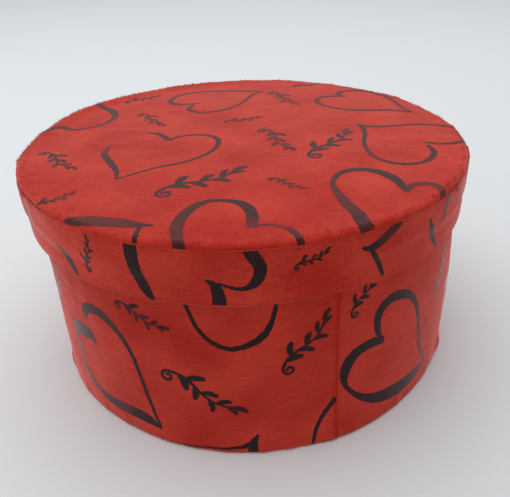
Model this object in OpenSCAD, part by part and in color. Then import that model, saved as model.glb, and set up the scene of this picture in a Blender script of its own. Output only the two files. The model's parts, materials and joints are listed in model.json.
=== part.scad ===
// Round gift box with a lift-off lid: greyboard rings and discs under brushed red
// cloth printed with black hearts. Origin at the centre of the underside, +Z up,
// the side with the seam of the wall cloth faces -Y.

/* [Box body] */
// Diameter of the box body, over its cloth
body_d = 200; // [140:1:300]
// Height of the box body, from the surface that it stands on to its cloth rim
body_h = 103; // [60:1:180]

/* [Lid] */
// Depth of the lid, from its top to the lower edge of its rim band
lid_depth = 26; // [20:1:45]
// Room between the lid's lining and the thickest place of the body's cloth
slip_gap = 0.3; // [0.2:0.05:1]
// Width of the top cloth that shows below the lid's top, before the rim band starts
lid_edge_show = 2; // [1.6:0.1:3]
// Length of the top cloth that is glued down on the rim board
lid_skirt_h = 12; // [8:1:14]
// Rounding of the rim board's upper edge
lid_edge_r = 0.9; // [0.5:0.1:1.2]

/* [Layers] */
// Thickness of the greyboard of walls, rim, base and top
board_t = 1.5; // [1.2:0.1:3]
// Thickness of the brushed cloth with its pile pressed
cloth_t = 0.7; // [0.4:0.05:1]
// Thickness of the lining paper
paper_t = 0.25; // [0.15:0.05:0.4]
// Thickness of the gummed tape over the board joints
tape_t = 0.12; // [0.08:0.01:0.14]
// Thickness of the glue film between layers that are wound round each other
glue_t = 0.1; // [0.05:0.01:0.15]
// Height of the flock print above the cloth
print_t = 0.15; // [0.1:0.01:0.2]

/* [Edges and seams] */
// Depth of the wall cloth that is turned in over the body's rim, and under its base
wall_turn_h = 12; // [8:1:20]
// Depth of the band cloth that is turned in under the lid's rim
rim_turn_h = 9; // [6:1:10]
// Lap of the lining over the turned-in cloth
lining_lap_h = 3; // [2:0.5:5]
// Width of the overlap where the ends of a cloth band meet
seam_lap_w = 12; // [6:1:20]
// How far that overlap stands proud
seam_step = 0.3; // [0.2:0.05:0.5]
// Slit that is left where the ends of a bent board meet
board_slit = 0.4; // [0.2:0.1:1]
// Width of the gummed tape over that slit
tape_w = 24; // [15:1:40]
// How far the cover under the base stays inside the edge of the wall board
base_cover_inset = 4; // [2:0.5:8]
// Height of the slope where the rim band leaves the end of the top cloth
band_slope_h = 3; // [2:0.5:4]

/* [Places round the box] */
// Angle from the front, to the right, where the wall cloth's upper end stops
wall_seam_deg = 18.5; // [10:0.5:60]
// Angle from the front, to the right, where the rim band's upper end stops
rim_seam_deg = 80; // [60:1:120]
// Angle of the wall board's joint from the front
wall_joint_deg = 180; // [120:1:240]
// Angle of the rim board's joint from the front
rim_joint_deg = 205; // [120:1:240]

/* [Hidden] */
$fn = 96;
// Overrun of cuts past a face
over = 1;

// Radii of the body, from the cloth inwards
body_r = body_d / 2;
wall_cloth_r = body_r - cloth_t;
wall_out_r = wall_cloth_r - glue_t;
wall_in_r = wall_out_r - board_t;
wall_lining_r = wall_in_r - glue_t;
wall_turn_r = wall_lining_r - cloth_t;
wall_lap_r = wall_turn_r - glue_t;

// Heights of the body, from the surface that it stands on
turn_z = paper_t;
base_z = turn_z + cloth_t;
base_top_z = base_z + board_t;
base_lining_z = base_top_z + paper_t;
wall_top_z = body_h - cloth_t;
wall_turn_z = body_h - wall_turn_h;

// Radii of the lid, from the lining outwards
lid_bore_r = body_r + seam_step + slip_gap;
rim_turn_r = lid_bore_r + paper_t + glue_t;
rim_lining_r = rim_turn_r + cloth_t;
rim_in_r = rim_lining_r + glue_t;
rim_out_r = rim_in_r + board_t;
rim_cloth_r = rim_out_r + glue_t;
skirt_r = rim_cloth_r + cloth_t;
band_r = skirt_r + glue_t;
lid_r = band_r + cloth_t;

// Heights of the lid, shut on the body
lid_lining_z = body_h + paper_t;
lid_board_z = lid_lining_z + board_t;
lid_top_z = lid_board_z + cloth_t;
rim_low_z = lid_top_z - lid_depth;
rim_board_z = rim_low_z + cloth_t;
rim_turn_z = rim_low_z + rim_turn_h;
skirt_z = lid_top_z - lid_skirt_h;
band_top_z = lid_top_z - lid_edge_show;

// Steps between two rows of a stroke
stroke_steps = 2;

// The print is black flock strokes that draw hearts. A stroke is a row of places, each
// [across, up, width] in hundredths of the body's radius. On the top, across and up
// run from the middle to the right and to the back. Round the wall and the rim,
// across runs along the cloth from the front to the right, and up runs from the
// surface that the box stands on or from the lower edge of the rim.

lid_print_shares = [
    // Heart near the middle left, in three strokes
    [[-65, -4, 2], [-66, -13, 3], [-61, -25, 3.2], [-57, -35, 2.4], [-56, -43, 1]],
    [[-65, -4, 2.4], [-63, 5, 2], [-58, 11, 2], [-51, 12.5, 2], [-44, 10, 3], [-38, 1.5, 3.6]],
    [[-38, 1, 2.4], [-33, 5.5, 2], [-27, 7, 2.2], [-20, 6, 2.6], [-15, 1, 3], [-14, -8, 2.8],
     [-19, -19, 2.4], [-29, -28, 2], [-43, -34, 1.8], [-56, -43, 1]],
    // Heart at the back left
    [[-25, 59, 1.4], [-31, 58, 2.4], [-37, 58.5, 3.4], [-42, 62, 4.4], [-42.5, 69, 4],
     [-38, 77, 3], [-29, 81.5, 3], [-19, 83, 3], [-5, 82, 2.6], [10, 79, 1.2]],
    [[-29, 56, 2], [-31.5, 49, 3.6], [-27, 43.5, 3.2], [-20, 42, 2.8], [-12, 45, 2.8],
     [-5, 52, 3.2], [0, 62, 3.6], [4, 72, 3.4], [10, 79, 1.4]],
    // Heart at the back right
    [[58, 62, 1.4], [51, 64, 3], [44, 62.5, 4.2], [40, 56, 3.6], [42, 49, 3], [48, 41.5, 2.6],
     [57, 36, 2.4], [70, 34.5, 2.8], [80, 33, 2.8], [89, 29, 1.2]],
    [[55, 62.5, 3], [54.5, 69, 4.4], [59, 73, 3.2], [66, 73.5, 2.8], [73, 69.5, 3],
     [80, 60, 3.2], [83.5, 49, 3], [85, 38, 2.6], [89, 29, 1.2]],
    // Heart at the right, that runs over the edge
    [[56, 14, 1], [61, 9.5, 2.6], [70, 8.5, 2.6], [79, 9.5, 2.4], [87, 9, 2.4], [94, 6, 2.4],
     [99, 1, 2.4], [101, -6, 2.4]],
    [[101, -16, 4], [95, -19, 3], [90, -19, 2.6], [83, -16, 1.2]],
    [[56, 14, 1.4], [58, 8, 2.8], [57.5, -1, 2.4], [55, -12, 2.2], [54.5, -23, 2.6],
     [57, -33, 2.8], [63, -39.5, 2.8], [71, -41, 3], [79, -37, 3.2], [84.5, -29, 3], [85, -20, 2.4]],
    // Heart at the front right
    [[40, -93, 6.2], [39, -85, 5.6], [36.5, -77, 4.6], [34.5, -68, 3.6], [33.5, -59, 2.4],
     [36, -51, 2.8], [41, -46, 3.6], [48, -45, 4], [55, -49, 5], [60, -57, 5.4], [61.5, -69, 2]],
    [[61.5, -69, 1.6], [65, -63.5, 3.4], [70, -62, 3.8], [74.5, -64, 4], [75, -69, 3]],
    // Heart at the front
    [[-26, -98, 4.2], [-27, -89, 4.8], [-25.5, -80, 4.6], [-21.5, -72, 4.4], [-15.5, -68, 3],
     [-9, -68.5, 2.6], [-3, -72.5, 4.4], [0, -80, 4.6], [0, -91, 4.6]],
    [[0, -90.5, 1.4], [5, -90, 1.6], [9.5, -92, 2], [13.5, -95, 2.8], [16, -99, 3]],
    // Open heart at the front left
    [[-67, -76, 3], [-62, -78.5, 7.5], [-56, -80.5, 7.8], [-49, -83, 6.4], [-42, -85.5, 4.8],
     [-35, -87, 1]],
    [[-40, -87, 1.8], [-40.5, -90, 1.8], [-41, -93, 2]],
    // Heart at the left, cut by the edge
    [[-81, 59, 4], [-74, 52, 6], [-70.5, 44, 4.4], [-71, 37, 3.6], [-75, 29.5, 3], [-81, 25, 2.6],
     [-88, 23, 3], [-94, 27, 4.6]],
    [[-93.5, 28, 4], [-97.5, 25, 2.8], [-99.5, 20, 2.4]]];

wall_print_shares = [
    // Heart that leans to the left
    [[-80, 53.5, 1], [-80.5, 57, 4], [-78, 60.5, 4.6], [-73, 62, 5], [-67, 61, 4.6],
     [-61.5, 57.5, 3.6], [-57, 52, 2.4], [-53.5, 44, 2], [-51.5, 35, 1.8], [-49.5, 25, 2],
     [-47, 15, 1.6], [-45, 8, 1]],
    [[-94, 37, 2.4], [-92, 43, 7], [-86, 45, 7.6], [-79.5, 45.5, 5], [-77, 42, 1]],
    [[-94, 37, 2], [-93.5, 27, 3], [-89, 18, 3.6], [-82, 13, 4], [-75, 11.5, 4.8], [-67, 11.5, 6],
     [-58, 12, 6.2], [-51, 11, 5.4], [-45, 8, 1]],
    // Heart whose upper half is under the lid
    [[-32, 98, 1.2], [-29.5, 87, 1.4], [-26.5, 76, 1.6], [-23, 66, 1.8], [-18, 60, 2],
     [-11, 57, 2.2], [-3.5, 59, 2.8], [2.5, 63.5, 3], [6, 71, 2], [7.5, 80, 1.6], [5.5, 88, 2.6],
     [-1, 92.5, 3.4], [-8, 91, 3], [-12, 86, 1.4]],
    // Heart that leans to the right
    [[54, 46.5, 1.4], [51.5, 52, 3], [51, 58.5, 4], [53, 63, 4.6], [58, 65.5, 4.8],
     [64, 64.5, 4.6], [70, 61.5, 3.4], [75, 55, 2.8], [78.5, 47, 2.4], [81, 36, 2], [83.5, 25, 2.2],
     [91, 13, 1]],
    [[55.5, 45, 3.4], [50, 46.5, 5], [44, 46, 5], [39, 43, 5.6], [36, 37, 5], [36, 30, 2.6],
     [39.5, 24, 2.2], [45, 18.5, 3.4], [52, 14.5, 5.6], [61, 12, 7], [71, 11, 7], [81, 11.5, 5.6],
     [91, 13, 1]],
    // Side of a heart that ends at the seam
    [[31.5, 23, 2.8], [28, 19, 2.4], [24.5, 13.5, 2], [22.5, 8, 1.8], [21.5, 2.5, 1.4]],
    // Foot of a heart that the lower edge cuts
    [[-35, 2, 1], [-24, 2.6, 1], [-14, 3.4, 1.4], [-7, 5, 2.4], [-2, 11, 0.8]],
    [[-2, 11, 0.8], [-3.5, 7, 2.6], [-4.5, 2, 4.6]]];

rim_print_shares = [
    // Lobe that the upper edge cuts, with its thick tail
    [[-1, 23, 5], [1.5, 19, 4.8], [2, 15, 4.6], [0, 10.5, 4], [-4, 8, 2], [-8.5, 8.5, 1.4],
     [-13, 10.5, 1.2]],
    [[-17.5, 12, 0.8], [-14.5, 9.5, 3.8], [-13.5, 6, 4.8], [-13.2, 2, 5.2]],
    // Slanting stroke
    [[-44.5, 23, 5.6], [-44.5, 18, 5.4], [-43.5, 12, 5], [-41.5, 6, 4.6], [-39, 1.5, 2.6]],
    // Tip of a heart
    [[40, 18, 0.8], [44, 17, 3], [48.5, 18.5, 3.8], [52.5, 21, 4], [56, 23, 3.6]],
    [[44, 16.5, 2], [47, 11.5, 2], [49.5, 6.5, 2], [51, 2.5, 1.4]],
    // End of a stroke at the right
    [[78, 14, 4], [80, 9.5, 3], [83.5, 4, 1.2]],
    // End of a stroke at the left
    [[-80, 8, 4], [-77, 5, 3.6], [-75, 1.5, 1]]];

cloth_colour = "#b5382f";
band_colour = "#a8332b";
board_colour = "#a79a86";
tape_colour = "#b98f5c";
paper_colour = "#efe9dd";
print_colour = "#2c2123";

// Upright strip of a section: from one radius to the next, between two heights
module strip(r0, r1, z0, z1) {
    translate([r0, z0]) square([r1 - r0, z1 - z0]);
}

// Round of a section about a corner
module round_at(r, z, size) {
    translate([r, z]) circle(size);
}

// Wedge that holds a given width of arc, centred on an angle from the front
module arc_wedge(deg, width, r, z0, z1) {
    half = width / 2;
    rotate(deg - 90) translate([0, -half, z0]) cube([r + over, width, z1 - z0]);
}

// Tube between two radii and two heights
module tube(r0, r1, z0, z1) {
    rotate_extrude() strip(r0, r1, z0, z1);
}

// Disc between two heights
module disc(r, z0, z1) {
    translate([0, 0, z0]) cylinder(r = r, h = z1 - z0);
}

// Ring of board bent from a strip, with the slit where its ends meet
module slit_wall(deg, z0, z1) {
    difference() {
        children();
        arc_wedge(deg, board_slit, lid_r, z0 - over, z1 + over);
    }
}

// Piece of gummed tape on the inside of a bent board
module joint_tape(deg, r, z0, z1) {
    intersection() {
        tube(r - tape_t, r, z0, z1);
        arc_wedge(deg, tape_w, r, z0, z1);
    }
}

// Angle that a length of arc covers
function deg_of(arc, radius) = arc / radius * 180 / PI;

// Cloth end that laps over the start of its band, to the left of the angle where it stops
module lapped_end(deg, r, z0, z1, grow = 0) {
    intersection() {
        tube(r - cloth_t / 2, r + seam_step + grow, z0, z1);
        arc_wedge(deg - deg_of(seam_lap_w / 2, r), seam_lap_w, r, z0, z1);
    }
}

// Box body

module base_board() {
    color(board_colour) disc(wall_lining_r, base_z, base_top_z);
}

module wall_board() {
    color(board_colour) slit_wall(wall_joint_deg, base_z, wall_top_z)
        tube(wall_in_r, wall_out_r, base_z, wall_top_z);
}

wall_tape_low_z = base_top_z + lining_lap_h;
wall_tape_top_z = wall_turn_z - lining_lap_h;

module wall_joint_tape() {
    color(tape_colour)
        joint_tape(wall_joint_deg, wall_lining_r, wall_tape_low_z, wall_tape_top_z);
}

// Cloth outside the wall, turned in over the rim and under the base
module wall_cloth() {
    color(cloth_colour) {
        rotate_extrude() difference() {
            union() {
                strip(wall_cloth_r, body_r, base_z, wall_top_z);
                strip(wall_lining_r, wall_cloth_r, wall_top_z, body_h);
                strip(wall_turn_r, wall_lining_r, wall_turn_z, wall_top_z);
                strip(under_r, wall_cloth_r, turn_z, base_z);
                round_at(wall_cloth_r, wall_top_z, cloth_t);
                round_at(wall_lining_r, wall_top_z, cloth_t);
                round_at(wall_cloth_r, base_z, cloth_t);
            }
            strip(wall_lining_r, wall_cloth_r, base_z, wall_top_z);
            strip(under_r - over, wall_lining_r, base_z, base_top_z);
        }
        lapped_end(wall_seam_deg, body_r, base_z, wall_top_z);
    }
}

under_r = body_r - wall_turn_h;
base_cover_r = wall_out_r - base_cover_inset;

// Paper disc under the base, dished over the edge of the turned-under cloth
module base_cover() {
    color(paper_colour) rotate_extrude() {
        strip(under_r - paper_t, base_cover_r, 0, turn_z);
        strip(under_r - paper_t, under_r, turn_z, base_z);
        strip(0, under_r - paper_t, cloth_t, base_z);
    }
}

// Paper inside the wall, lapped over the turned-in cloth
module wall_lining() {
    color(paper_colour) difference() {
        rotate_extrude() {
            strip(wall_lining_r - paper_t, wall_lining_r, base_top_z, wall_turn_z);
            strip(wall_lap_r, wall_lining_r - paper_t, wall_turn_z - paper_t, wall_turn_z);
            strip(wall_lap_r - paper_t, wall_lap_r, wall_turn_z - paper_t, wall_turn_z + lining_lap_h);
        }
        joint_tape(wall_joint_deg, wall_lining_r, wall_tape_low_z, wall_tape_top_z);
    }
}

module base_lining() {
    color(paper_colour) disc(wall_lining_r - paper_t - glue_t, base_top_z, base_lining_z);
}

// Lid

module lid_top_board() {
    color(board_colour) disc(rim_lining_r, lid_lining_z, lid_board_z);
}

// Section of the rim board, with its rounded upper edge
module rim_board_section() {
    round_z = lid_board_z - lid_edge_r;
    strip(rim_in_r, rim_out_r, rim_board_z, round_z);
    strip(rim_in_r, rim_out_r - lid_edge_r, round_z, lid_board_z);
    round_at(rim_out_r - lid_edge_r, round_z, lid_edge_r);
}

module lid_rim_board() {
    color(board_colour) slit_wall(rim_joint_deg, rim_board_z, lid_board_z)
        rotate_extrude() difference() {
            rim_board_section();
            strip(0, rim_in_r, rim_board_z, lid_board_z);
        }
}

rim_tape_low_z = rim_turn_z + paper_t;

module lid_joint_tape() {
    color(tape_colour) joint_tape(rim_joint_deg, rim_lining_r, rim_tape_low_z, body_h);
}

// Cloth disc over the top board, turned down round the edge
module lid_top_cloth() {
    round_z = lid_board_z - lid_edge_r;
    round_r = rim_cloth_r - lid_edge_r;
    color(cloth_colour) rotate_extrude() difference() {
        union() {
            strip(0, round_r, lid_board_z, lid_top_z);
            round_at(round_r, round_z, lid_edge_r + cloth_t);
            strip(rim_cloth_r, skirt_r, skirt_z, round_z);
        }
        strip(0, round_r, round_z - lid_edge_r - cloth_t, lid_board_z);
        strip(0, rim_cloth_r, round_z - lid_edge_r - cloth_t, round_z);
        round_at(round_r, round_z, lid_edge_r);
    }
}

// Outline of the rim band outside the board, over the end of the top cloth
function band_points(grow) = [
    [band_r, band_top_z], [lid_r + grow, band_top_z], [lid_r + grow, skirt_z],
    [skirt_r + grow, skirt_z - band_slope_h], [skirt_r + grow, rim_board_z],
    [rim_cloth_r, rim_board_z], [rim_cloth_r, skirt_z - cloth_t], [band_r, skirt_z]];

// Cloth band outside the lid's rim, turned in round the lower edge
module lid_rim_cloth() {
    color(band_colour) {
        rotate_extrude() {
            polygon(band_points(0));
            strip(rim_turn_r, rim_lining_r, rim_board_z, rim_turn_z);
            difference() {
                union() {
                    strip(rim_lining_r, rim_cloth_r, rim_low_z, rim_board_z);
                    round_at(rim_cloth_r, rim_board_z, cloth_t);
                    round_at(rim_lining_r, rim_board_z, cloth_t);
                }
                strip(rim_turn_r - over, skirt_r + over, rim_board_z, rim_turn_z);
            }
        }
        lapped_end(rim_seam_deg, lid_r, skirt_z, band_top_z);
    }
}

module lid_top_lining() {
    color(paper_colour) disc(rim_lining_r, body_h, lid_lining_z);
}

// Paper inside the rim, lapped over the turned-in cloth
module lid_rim_lining() {
    color(paper_colour) difference() {
        rotate_extrude() {
            strip(rim_lining_r - paper_t, rim_lining_r, rim_turn_z, body_h);
            strip(lid_bore_r + paper_t, rim_lining_r - paper_t, rim_turn_z, rim_turn_z + paper_t);
            strip(lid_bore_r, lid_bore_r + paper_t, rim_turn_z - lining_lap_h, rim_turn_z + paper_t);
        }
        joint_tape(rim_joint_deg, rim_lining_r, rim_tape_low_z, body_h);
    }
}

// Print

// Hundredth of the body's radius, the unit of the print's rows
print_unit = body_r / 100;
// Turns of the cloth's repeat round the box
repeat_degs = [0, 119, 241];

function place(rows, i) = rows[max(0, min(i, len(rows) - 1))] * print_unit;

// Smooth curve through four rows, at a share of the way from the second to the third
function along(a, b, c, d, u) =
    (2 * b + (c - a) * u + (2 * a - 5 * b + 4 * c - d) * u * u
     + (3 * b - a - 3 * c + d) * u * u * u) / 2;

function centre_line(rows) = [
    for (i = [0 : len(rows) - 2], k = [0 : stroke_steps - 1])
        along(place(rows, i - 1), place(rows, i), place(rows, i + 1), place(rows, i + 2),
              k / stroke_steps),
    place(rows, len(rows) - 1)];

// Edge of a stroke, half its width to one side of its centre line
function edge_line(line, side) = [
    for (i = [0 : len(line) - 1])
        let (a = line[max(i - 1, 0)], b = line[min(i + 1, len(line) - 1)],
             run = [b.x - a.x, b.y - a.y], way = run / norm(run) * side * line[i].z / 2)
        [line[i].x - way.y, line[i].y + way.x]];

function turned(list) = [for (i = [len(list) - 1 : -1 : 0]) list[i]];

function stroke_outline(rows) =
    let (line = centre_line(rows)) concat(edge_line(line, 1), turned(edge_line(line, -1)));

// Strokes on a round wall, each cut through a shell from the box's axis outwards
module wall_strokes(strokes, radius, low_z) {
    for (rows = strokes, deg = repeat_degs) {
        middle = (rows[0].x + rows[len(rows) - 1].x) / 2 * print_unit;
        outline = [for (p = stroke_outline(rows))
            [radius * sin(deg_of(p.x - middle, radius)), low_z + p.y]];
        intersection() {
            children();
            rotate(deg + deg_of(middle, radius)) rotate([90, 0, 0])
                linear_extrude(radius + over) polygon(outline);
        }
    }
}

module lid_top_print() {
    color(print_colour) translate([0, 0, lid_top_z]) linear_extrude(print_t) intersection() {
        circle(rim_out_r - lid_edge_r);
        for (rows = lid_print_shares) polygon(stroke_outline(rows));
    }
}

module wall_print() {
    color(print_colour) wall_strokes(wall_print_shares, body_r, 0) difference() {
        union() {
            tube(body_r, body_r + print_t, base_z, wall_top_z);
            lapped_end(wall_seam_deg, body_r, base_z, wall_top_z, print_t);
        }
        lapped_end(wall_seam_deg, body_r, base_z, wall_top_z);
        tube(wall_cloth_r - over, body_r, base_z - over, wall_top_z + over);
    }
}

module lid_rim_print() {
    color(print_colour) wall_strokes(rim_print_shares, lid_r, rim_low_z)
        rotate_extrude() difference() {
            polygon(band_points(print_t));
            polygon(band_points(0));
            strip(rim_cloth_r - over, band_r, rim_board_z - over, band_top_z + over);
        }
}

base_board();
wall_board();
wall_joint_tape();
wall_cloth();
base_cover();
wall_lining();
base_lining();
lid_top_board();
lid_rim_board();
lid_joint_tape();
lid_top_cloth();
lid_rim_cloth();
lid_top_lining();
lid_rim_lining();
lid_top_print();
lid_rim_print();
wall_print();
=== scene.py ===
"""Looks of a round gift box: brushed red cloth, a black heart print, boards and paper.

Lengths are millimetres until a mesh is made, which is in metres. A turn is an angle
round the box's axis, in radians, from the front (-Y) to the right (+X).
"""

import json
from math import cos, pi, radians, sin

import bpy
import numpy as np
from mathutils import Matrix, Vector


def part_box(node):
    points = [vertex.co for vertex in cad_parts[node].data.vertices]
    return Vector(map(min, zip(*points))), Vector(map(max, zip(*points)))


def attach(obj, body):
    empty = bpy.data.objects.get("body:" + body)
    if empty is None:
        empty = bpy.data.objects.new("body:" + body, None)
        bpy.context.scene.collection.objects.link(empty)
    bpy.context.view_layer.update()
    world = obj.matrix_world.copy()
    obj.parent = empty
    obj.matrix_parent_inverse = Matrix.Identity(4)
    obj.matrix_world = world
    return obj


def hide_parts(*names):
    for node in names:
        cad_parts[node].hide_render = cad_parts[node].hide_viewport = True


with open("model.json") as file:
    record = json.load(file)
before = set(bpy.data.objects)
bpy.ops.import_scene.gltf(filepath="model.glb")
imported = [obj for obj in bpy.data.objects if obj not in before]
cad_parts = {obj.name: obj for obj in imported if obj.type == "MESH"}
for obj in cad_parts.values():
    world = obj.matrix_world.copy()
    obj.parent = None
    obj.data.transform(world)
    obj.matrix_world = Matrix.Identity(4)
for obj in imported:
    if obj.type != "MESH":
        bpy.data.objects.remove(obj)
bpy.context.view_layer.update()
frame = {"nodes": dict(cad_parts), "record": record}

bl_info = {
    "name": "Heart Print Gift Box",
    "version": (1, 0, 0),
    "blender": (4, 5, 0),
    "location": "View3D > Sidebar > Gift Box",
    "description": "Dresses a round gift box in brushed cloth with a heart print",
    "category": "Object",
}

MM = 0.001
WHOLE_TURN = 2 * pi

# Sizes that come from the frame

LOW, HIGH = 0, 1
ACROSS, UPWARD = 0, 2


def reach(node, end, axis):
    """Lowest or highest coordinate of a node of the frame."""
    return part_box(node)[end][axis] / MM


body_r = reach("wall_cloth", HIGH, ACROSS)
body_top = reach("wall_cloth", HIGH, UPWARD)
body_foot = reach("wall_cloth", LOW, UPWARD)
board_top = reach("wall_board", HIGH, UPWARD)
lining_r = reach("base_board", HIGH, ACROSS)
cover_r = reach("base_cover", HIGH, ACROSS)
rim_lining_r = reach("lid_top_board", HIGH, ACROSS)
lid_r = reach("lid_rim_cloth", HIGH, ACROSS)
lid_top = reach("lid_top_cloth", HIGH, UPWARD)
skirt_r = reach("lid_top_cloth", HIGH, ACROSS)
skirt_low = reach("lid_top_cloth", LOW, UPWARD)
band_top = reach("lid_rim_cloth", HIGH, UPWARD)
rim_low = reach("lid_rim_cloth", LOW, UPWARD)
band_h = band_top - rim_low
cloth_t = body_top - board_top

# Sizes of the cloth work that the frame doesn't hold

WALL_TURN_IN = 12.0
WALL_UNDER_COVER = 7.0
RIM_TURN_IN = 9.0
SEAM_LAP = 12.0
WALL_SEAM = radians(18.5)
RIM_SEAM = radians(80)
FOLD_R = 0.85
RIM_FOLD_R = 1.3
FOOT_R = 1.8
LID_EDGE_R = 2.2
BAND_SLOPE_H = 5.0
BAND_SLOPE_R = 6.0
# Gap between the layers of an overlap, and half the width of the lid's loose corner
LAYER_GAP = 0.05
CORNER_WIDE = 9.0
# Painted shade: how far the nap value is lowered along a cut end, which draws a darker line at each
# seam, over what width, and along the rim's fold, which dims the fold's pale edge
SEAM_SHADE_DEPTH = 0.6
SEAM_SHADE_WIDE = 1.2
FOLD_SHADE_DEPTH = 0.4
# Length over which the loose corner drops behind the seam
CORNER_DROP = 1.6
# How deep under its skin a cloth's glued side lies, as a share of its thickness
GLUED_SHARE = 0.9
# How far the cloth and the tips of its pile stay above the table
CLOTH_LIFT = 0.02
TIP_LIFT = 0.05
# Steps of a mesh along a wall, along the rim band, over the lid's flat middle and over its edge
MESH_STEP = 1.5
BAND_STEP = 0.9
FLAT_STEP = 2.6
EDGE_STEP = 0.5
# Width of the ring at the lid's edge with the fine steps, and where the steps of its middle start
EDGE_ZONE = 8.0
MIDDLE_R = 0.5
# Steps round the box of the wall's mesh and of the lid's
WALL_TURNS = 440
LID_TURNS = 620

# Body of the frame that each cloth rides on
BODIES = {"wall_cloth": "box_body", "lid_rim_cloth": "lid", "lid_top_cloth": "lid"}


def linear(code):
    """A colour written as sRGB hex, turned to the linear values that a shader takes."""
    parts = np.array([int(code[i:i + 2], 16) / 255 for i in (1, 3, 5)])
    return tuple(np.where(parts <= 0.04045, parts / 12.92, ((parts + 0.055) / 1.055) ** 2.4))


def opaque(colour):
    """A colour with its fourth value, which says that nothing shows through."""
    return (*colour, 1.0)


# Fields and section paths


def ramp(value, start, stop):
    """Smooth step: 0 up to start, 1 from stop on, 3t^2 - 2t^3 between them."""
    share = np.clip((value - start) / (stop - start), 0, 1)
    return share * share * (3 - 2 * share)


def hump(*ratios):
    """Gaussian: exp of minus the sum of the squares of its ratios, so 1 in its middle."""
    return np.exp(-sum(ratio ** 2 for ratio in ratios))


def unit(vectors):
    """Vectors of the same directions, each divided by its length."""
    return vectors / np.linalg.norm(vectors, axis=-1, keepdims=True)


def turn_between(turn, place):
    """Turn from a place to another the short way round, from -pi to pi."""
    return (turn - place + pi) % WHOLE_TURN - pi


def waves(seed, count, shortest, longest, stretch=(1, 1, 1)):
    """Smooth random field of a place: the sum of plane cosine waves in random directions.

    Each wave's length lies between the shortest and the longest, and stretch makes all of
    them longer along an axis. The sum is scaled so that it mostly stays between -1 and 1.
    """
    draw = np.random.default_rng(seed)
    ways = unit(draw.normal(size=(count, 3)))
    rates = ways * (WHOLE_TURN / draw.uniform(shortest, longest, (count, 1))) / np.array(stretch)
    starts = draw.uniform(0, WHOLE_TURN, count)

    def field(place):
        total = np.zeros(place.shape[:-1])
        for rate, start in zip(rates, starts):
            total += np.cos(place @ rate + start)
        return total / np.sqrt(2 * count)

    return field


def tucks(seed, count, narrow, wide, radius):
    """Bumps round an edge: Gaussian humps at random turns, each with its own width and height."""
    draw = np.random.default_rng(seed)
    places = np.sort(draw.uniform(0, WHOLE_TURN, count))
    widths = draw.uniform(narrow, wide, count) / radius
    heights = draw.uniform(0.25, 1, count)

    def field(turn):
        total = np.zeros(np.shape(turn))
        for place, width, height in zip(places, widths, heights):
            total += height * hump(turn_between(turn, place) / width)
        return total

    return field


def rounded(points, radii, step=MESH_STEP):
    """Path of a section: straight legs, with each inner corner replaced by an arc.

    The arc of a corner touches both legs, radius / tan(half the angle between them) away
    from the corner. Places on the legs are about a step apart, and closer on the arcs.
    """
    points = np.asarray(points, float)
    path = [points[:1]]
    for before, corner, after, radius in zip(points, points[1:-1], points[2:], radii):
        back = (before - corner) / np.linalg.norm(before - corner)
        ahead = (after - corner) / np.linalg.norm(after - corner)
        half = np.arccos(np.clip(back @ ahead, -1, 1)) / 2
        middle = corner + (back + ahead) / np.linalg.norm(back + ahead) * radius / sin(half)
        first = corner + back * radius / np.tan(half) - middle
        side = np.sign(ahead[0] * back[1] - ahead[1] * back[0])
        bend = pi - 2 * half
        sweep = np.linspace(0, bend * side, max(5, round(4 * bend * radius / step)))
        turned = np.stack([first[0] * np.cos(sweep) - first[1] * np.sin(sweep),
                           first[0] * np.sin(sweep) + first[1] * np.cos(sweep)], axis=1)
        path.append(leg(path[-1][-1], middle + turned[0], step))
        path.append(middle + turned[1:])
    path.append(leg(path[-1][-1], points[-1], step))
    return np.concatenate(path)


def leg(start, stop, step):
    """Places on a straight line after its start, about a step apart."""
    count = max(1, round(np.linalg.norm(stop - start) / step))
    return start + (stop - start) * np.arange(1, count + 1)[:, None] / count


def lengths_along(path):
    """Distance of each place of a path from its start: the sum of the legs before it."""
    legs = np.diff(path, axis=0)
    return np.concatenate([[0], np.cumsum(np.hypot(legs[:, 0], legs[:, 1]))])


def round_place(turn, radius, height):
    """Point at a turn from the front to the right: (r sin, -r cos, height)."""
    across, ahead = radius * np.sin(turn), -radius * np.cos(turn)
    return np.stack(np.broadcast_arrays(across, ahead, height), axis=-1)


class Cloth:
    """Outer skin of a cloth: a section's path carried round the box's axis.

    A point is given by its turn and by its distance along the path. It is the path's place
    moved along the path's normal by the swell there, and then turned about the axis.
    """

    def __init__(self, path, swell, start=None, before=0.0):
        self.path = path
        self.swell = swell
        self.start = start
        self.along = before + lengths_along(path)
        self.run = unit(np.gradient(path, self.along, axis=0))
        self.normal = np.stack([-self.run[:, 1], self.run[:, 0]], axis=1)

    def at(self, table, along):
        """Columns of one of the path's tables at a distance along the path."""
        return [np.interp(along, self.along, column) for column in table.T]

    def top_turn(self, turn):
        """The same turn, counted so that it lies on the upper layer of the overlap."""
        if self.start is None:
            return turn
        first = self.start + self.lap()
        return first + (turn - first) % WHOLE_TURN

    def lap(self):
        """Overlap of the two ends, as a turn."""
        return SEAM_LAP / self.path[:, 0].max()

    def point(self, turn, along, proud=0.0, inner=False):
        """Place on the skin, or proud of it, and on the glued side where inner is true."""
        radius, height = self.at(self.path, along)
        out_r, out_z = self.at(self.normal, along)
        still = round_place(turn, radius, height)
        rise = proud + self.swell(self, turn, along, still, inner)
        height = np.maximum(height + out_z * rise, CLOTH_LIFT)
        return round_place(turn, radius + out_r * rise, height)

    def frame_at(self, turn, along):
        """Outward normal, direction along the path and direction round the box."""
        out_r, out_z = self.at(self.normal, along)
        run_r, run_z = self.at(self.run, along)
        zero = np.zeros_like(turn)
        return (round_place(turn, out_r, out_z), round_place(turn, run_r, run_z),
                np.stack([np.cos(turn), np.sin(turn), zero], axis=-1))


# The three cloths


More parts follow.
